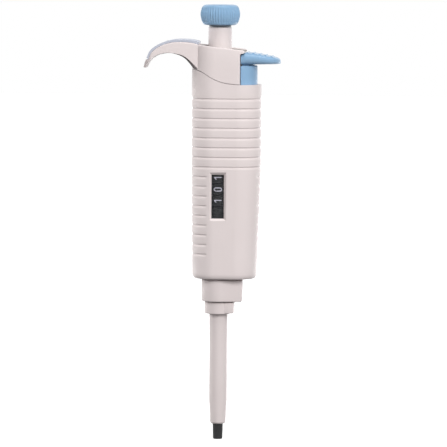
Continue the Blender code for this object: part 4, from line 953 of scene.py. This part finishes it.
def make_pad():
    rings = [hook_ring(top, towards(top, under, PAD_THICK + 0.8 * FIT), PAD_HALF, 0.5 * MM,
                       0.02 * MM)
             for share, top, under in hook_lines()
             if PAD_SPAN[0] + PAD_END_GAP < share < PAD_SPAN[1] - PAD_END_GAP]
    pad = skin("pad", rings)
    piece(pad, "hook_pad_strip", "grip", ["hook_pad"], PALE)


def make_lens():
    half_x, low, high = WINDOW
    front = -GRIP_ENDS[2] + WINDOW_FRAME_DEPTH + 0.1 * MM
    lens = block("lens", (-half_x + FIT, front, low + FIT),
                 (half_x - FIT, front + LENS_THICK, high - FIT))
    piece(softened(lens, 0.2 * MM), "window_glass", "grip", ["window_lens"], CLEAR)


def make_button():
    outer = metres(BUTTON_HOLLOW) + smooth_line(BUTTON_SIDE, 4) + metres(BUTTON_INSIDE)
    knob = turned("knob", outer, FLUTES * 8, closed=False)
    knob = fluted(knob, "knob flutes", FLUTES, FLUTE_DEPTH, FLUTE_CORE,
                  BUTTON_BOTTOM + 0.4 * MM, BUTTON_TOP - 0.7 * MM, FLUTE_FADE, BLUE)
    piece(knob, "fluted_button", "dial", ["push_button"], BLUE)


def make_neck():
    inner = NECK_R - 1.2 * MM
    hub = STEM_R + FIT
    profile = [(hub, NECK_TOP), (NECK_R, NECK_TOP), (NECK_R, NECK_BOTTOM),
               (inner, NECK_BOTTOM), (inner, NECK_TOP - 3.0 * MM), (hub, NECK_TOP - 3.0 * MM)]
    piece(turned("neck", fillet(profile, 0.3 * MM)), "neck_tube", "dial",
          ["neck_sleeve"], WHITE)
    ring = [(hub, LOCK_Z[1]), (LOCK_R, LOCK_Z[1]), (LOCK_R, LOCK_Z[0]), (hub, LOCK_Z[0])]
    piece(turned("lock", fillet(ring, 0.2 * MM)), "lock_ring", "dial",
          ["calibration_lock"], LOCK)


def figure_strip(shown):
    """Ten drawn figures side by side on a flat strip, for one drum, the shown one in the middle."""
    curve = bpy.data.curves.new("figures", "CURVE")
    curve.dimensions = "3D"
    curve.bevel_depth = FIGURE_LINE
    curve.bevel_resolution = 3
    curve.use_fill_caps = True
    wide, tall = FIGURE_SCALE
    pitch = math.tau * DRUM_R / 10.0
    for step in range(-4, 6):
        for line in FIGURES[(shown - step) % 10]:
            points = smooth_line(line, 10 if len(line) == 2 else 4)
            spline = curve.splines.new("POLY")
            spline.points.add(len(points) - 1)
            for knot, (x, y) in zip(spline.points, points):
                knot.co = (step * pitch - tall * y, wide * x, 0.0, 1.0)
    source = link("figures", curve)
    source.scale.z = FIGURE_RAISED / FIGURE_LINE
    return bake(source)


def make_counter():
    half = (DRUM_PITCH - FIT) / 2.0
    inner = TUBE_R + FIT
    for place, (name, body, shown) in enumerate((
            ("blank", "grip", None), ("hundreds", "hundreds_wheel", 1),
            ("tens", "tens_wheel", 0), ("units", "units_wheel", 1))):
        middle = DRUM_LOWEST + place * DRUM_PITCH
        profile = [(inner, middle + half), (DRUM_R, middle + half), (DRUM_R, middle - half),
                   (inner, middle - half)]
        drum = turned(name, fillet(profile, 0.22 * MM), 288 if shown is None else 144)
        if shown is None:
            drum = fluted(drum, "drum serrations", SERRATIONS, SERRATION_DEPTH, SERRATION_CORE,
                          middle - half, middle + half, 0.5 * MM, BLACK)
        piece(drum, name + "_drum_ring", body, [name + "_drum"], BLACK)
        if shown is not None:
            figures = wrapped(figure_strip(shown), name + " figures", middle)
            piece(figures, name + "_figures", body, [], INK)


def plate_half(x):
    if x <= PLATE_STRAIGHT_X:
        return PLATE_HALF
    share = min(1.0, (x - PLATE_STRAIGHT_X) / (PLATE_TIP_X - PLATE_STRAIGHT_X))
    return PLATE_HALF * math.sqrt(max(0.0, 1.0 - share ** 3))


def make_ejector_button():
    line = smooth_line(PLATE_TOP, 8)
    rings = []
    for x, z in line:
        half = max(plate_half(x), 1.2 * MM)
        under = EJECTOR_UNDER + PLATE_RISE * (x - line[0][0]) / (line[-1][0] - line[0][0])
        rings.append(plate_ring(x, half, under, z, (z - under) * 0.47))
    plate = skin("plate", rings)
    plate = ridged(plate, line)
    column = slab("column", column_outline(), COLUMN_BOTTOM, EJECTOR_UNDER - COLUMN_GAP)
    column = softened(column, 0.5 * MM)
    left = COLUMN_X[0]
    inner = [(left + 0.6 * MM + 0.75 * (x - left), 0.7 * y) for x, y in column_outline()]
    neck = slab("column neck", inner, EJECTOR_UNDER - 3.0 * MM, EJECTOR_UNDER + 1.5 * MM)
    button = combine(plate, "UNION", [neck, column])
    piece(button, "thumb_button", "ejector", ["ejector_button"], BLUE, angle=40.0)


def plate_ring(x, half, low, high, radius):
    """A section across the thumb plate with round sides."""
    middle = (low + high) / 2.0
    tall = high - low
    radius = min(radius, half * 0.95)
    ring = []
    for side, end, turn in ((1, 1, 0), (-1, 1, 1), (-1, -1, 2), (1, -1, 3)):
        ring += [(x, side * (half - radius) + radius * across,
                  middle + end * (tall / 2.0 - radius) + radius * up)
                 for across, up in arc(turn, turn + 1, 8)]
    return ring


def make_ejector_head():
    away = math.hypot(HEAD_RIGHT, HEAD_HALF)
    meet = (math.atan2(HEAD_HALF, HEAD_RIGHT) + math.acos(HEAD_R / away)) * 2.0 / math.pi
    outline = [(HEAD_R * x, HEAD_R * y) for x, y in arc(meet, 4.0 - meet, 72)]
    outline += fillet([outline[-1], (HEAD_RIGHT, -HEAD_HALF), (HEAD_RIGHT, HEAD_HALF),
                       outline[0]], 0.8 * MM, closed=False)[1:-1]
    low, high = HEAD_Z
    head = softened(slab("head", outline, low, high), 0.8 * MM, 4, angle=60.0)
    head = combine(head, "DIFFERENCE", [
        cylinder("barrel room", BARREL_R + FIT, low + 1.5 * MM, high + PAST),
        cylinder("tube room", CLEAR_R, low - PAST, low + 3.0 * MM),
        block("bar pocket", (BAR_X[0] - FIT, -BAR_HALF - FIT, BAR_BOTTOM - FIT),
              (BAR_X[1] + FIT, BAR_HALF + FIT, high + PAST))])
    piece(head, "head_block", "ejector", ["ejector_head"], WHITE)


def make_sleeve():
    low, high = SLEEVE_HEAD_Z
    profile = [(CLEAR_R, high), (SLEEVE_HEAD_R, high), (SLEEVE_HEAD_R, low)]
    sleeve = turned("sleeve", fillet(profile + metres(SLEEVE_BELOW), 0.5 * MM))
    left, right, half = SLEEVE_TAB
    tab = softened(block("tab", (left, -half, low + 0.4 * MM), (right, half, high - 0.15 * MM)),
                   0.45 * MM)
    tab = combine(tab, "DIFFERENCE", [cylinder("tab room", 5.2 * MM, low, high + PAST)])
    sleeve = combine(sleeve, "UNION", [tab])
    piece(sleeve, "stripper_sleeve", "ejector", ["ejector_sleeve"], WHITE)


def make_cone():
    cone = turned("cone", fillet(metres(CONE), 0.25 * MM, parts=3), 64)
    piece(cone, "nose_cone", "grip", ["tip_cone"], DARK)


def make_springs():
    """Wound springs with a closed turn at each end, wound up from their foot."""
    for node, joint, travel, turns, wire in SPRINGS:
        low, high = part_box(node)
        foot = Vector(((low[0] + high[0]) / 2.0, (low[1] + high[1]) / 2.0, low[2]))
        radius = (high[0] - low[0]) / 2.0 - wire
        length = high[2] - low[2]
        closed = 2.1 * wire
        pitch = (length - 2.0 * wire - 2.0 * closed) / turns
        rings = []
        for step, (x, y) in enumerate(arc(0, 4 * (turns + 2), (turns + 2) * COIL_STEPS)):
            turn = step / COIL_STEPS
            open_turns = min(max(turn - 1.0, 0.0), turns)
            rise = wire + pitch * open_turns + closed * (turn - open_turns)
            rings.append([foot + Vector((x * (radius + wire * out), y * (radius + wire * out),
                                         rise + wire * up))
                          for out, up in arc(0, 4, WIRE_SIDES)[:-1]])
        spring = piece(skin(node, rings), node + "_coil", "grip", [node], STEEL,
                       angle=50.0)
        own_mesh(spring)


make_grip()
make_cap()
make_pad()
make_lens()
make_button()
make_neck()
make_counter()
make_ejector_button()
make_ejector_head()
make_sleeve()
make_cone()
make_springs()


# Stage, light and camera

AMBIENT = 0.4
LAMPS = [
    ("front right key", 24.0, 29.0, 1.3, 0.8, 0.6, 0.79, False),
    ("left strip", -112.0, 8.0, 0.9, 0.3, 0.7, 0.86, False),
    ("right strip", 148.0, 8.0, 0.9, 0.3, 0.45, 0.72, False),
    ("top", 10.0, 72.0, 1.1, 0.5, 0.5, 0.22, True),
]
LIT_PLACE = (0.0, 0.0, 0.13)
FLOOR_COLOUR = (0.8, 0.8, 0.8)
FLOOR_BOUNCED = (0.1, 0.1, 0.1)
FLOOR_HALF = 4.0
FLOOR_DROP = 0.2 * MM
VIEW_PLACE = (0.0025, 0.0, 0.1203)
VIEW_AZIMUTH = 4.0
VIEW_RISE = 4.5
VIEW_ROLL = 0.37
VIEW_DISTANCE = 2.3
VIEW_SPAN = 447.0 * 0.5557 * MM
FILM = 36.0


def seen_rays(tree):
    """1 on rays that show a thing to the eye, straight or mirrored, and 0 on bounced light."""
    path = tree.nodes.new("ShaderNodeLightPath")
    camera, glossy, through = (Wire(tree, path.outputs[label]) for label in
                               ("Is Camera Ray", "Is Glossy Ray", "Is Transmission Ray"))
    return camera.math("MAXIMUM", glossy.math("MAXIMUM", through))


def floor_material():
    """White card whose far part shines to the eye; it bounces light as a darker card would."""
    f = Finish("white floor card")
    fleck = f.noise(6.0 * MM, 2.0)
    tint = f.blend(fleck, FLOOR_COLOUR, tuple(part * 0.985 for part in FLOOR_COLOUR))
    seen = seen_rays(f.tree)
    away = f.add("ShaderNodeVectorMath", {"operation": "LENGTH"}, out="Value", Vector=f.place)
    shine = seen * (away.between(0.1, 1.3) * 0.55 + 0.42)
    return f.close(f.blend(seen, FLOOR_BOUNCED, tint), 0.85, Emission_Strength=1.0,
                   Emission_Color=f.blend(shine, (0.0, 0.0, 0.0), (1.0, 1.0, 1.0)))


def make_stage():
    shape = bmesh.new()
    shape.faces.new([shape.verts.new((x * FLOOR_HALF, y * FLOOR_HALF, -FLOOR_DROP))
                     for x, y in ((-1, -1), (1, -1), (1, 1), (-1, 1))])
    floor = solid("floor", shape)
    floor.data.materials.append(floor_material())


def make_world():
    world = bpy.data.worlds.new("studio")
    bpy.context.scene.world = world
    world.use_nodes = True
    tree = world.node_tree
    tree.nodes.clear()
    ground = tree.nodes.new("ShaderNodeBackground")
    plug(tree, (1.0, 1.0, 1.0), ground.inputs["Color"])
    plug(tree, seen_rays(tree) * (1.0 - AMBIENT) + AMBIENT, ground.inputs["Strength"])
    output = tree.nodes.new("ShaderNodeOutputWorld")
    tree.links.new(ground.outputs[0], output.inputs["Surface"])


def direction(azimuth, rise):
    """The way out from the object at an azimuth and a rise in degrees; azimuth 0 is the front."""
    turn, tilt = math.radians(azimuth), math.radians(rise)
    return Vector((math.sin(turn) * math.cos(tilt), -math.cos(turn) * math.cos(tilt),
                   math.sin(tilt)))


def make_lights():
    """Lamps by name, azimuth, rise, distance, width, length, strength and whether mirrored."""
    for name, azimuth, rise, distance, width, tall, strength, mirrored in LAMPS:
        light = bpy.data.lights.new(name, "AREA")
        light.shape = "RECTANGLE"
        light.size = width
        light.size_y = tall
        light.energy = strength * math.pi ** 2 * distance ** 2
        made = link(name, light)
        away = direction(azimuth, rise)
        made.location = Vector(LIT_PLACE) + away * distance
        made.rotation_euler = (-away).to_track_quat("-Z", "Y").to_euler()
        made.visible_glossy = mirrored


def make_camera():
    back = direction(VIEW_AZIMUTH, VIEW_RISE)
    data = bpy.data.cameras.new("camera")
    data.sensor_width = FILM
    data.lens = FILM * VIEW_DISTANCE / VIEW_SPAN
    data.clip_end = 50.0
    camera = link("camera", data)
    place = Matrix.Translation(Vector(VIEW_PLACE) + back * VIEW_DISTANCE)
    turn = (-back).to_track_quat("-Z", "Y").to_matrix().to_4x4()
    camera.matrix_world = place @ turn @ Matrix.Rotation(math.radians(VIEW_ROLL), 4, "Z")
    bpy.context.scene.camera = camera


make_stage()
make_world()
make_lights()
make_camera()
bpy.context.scene.view_settings.view_transform = "Standard"
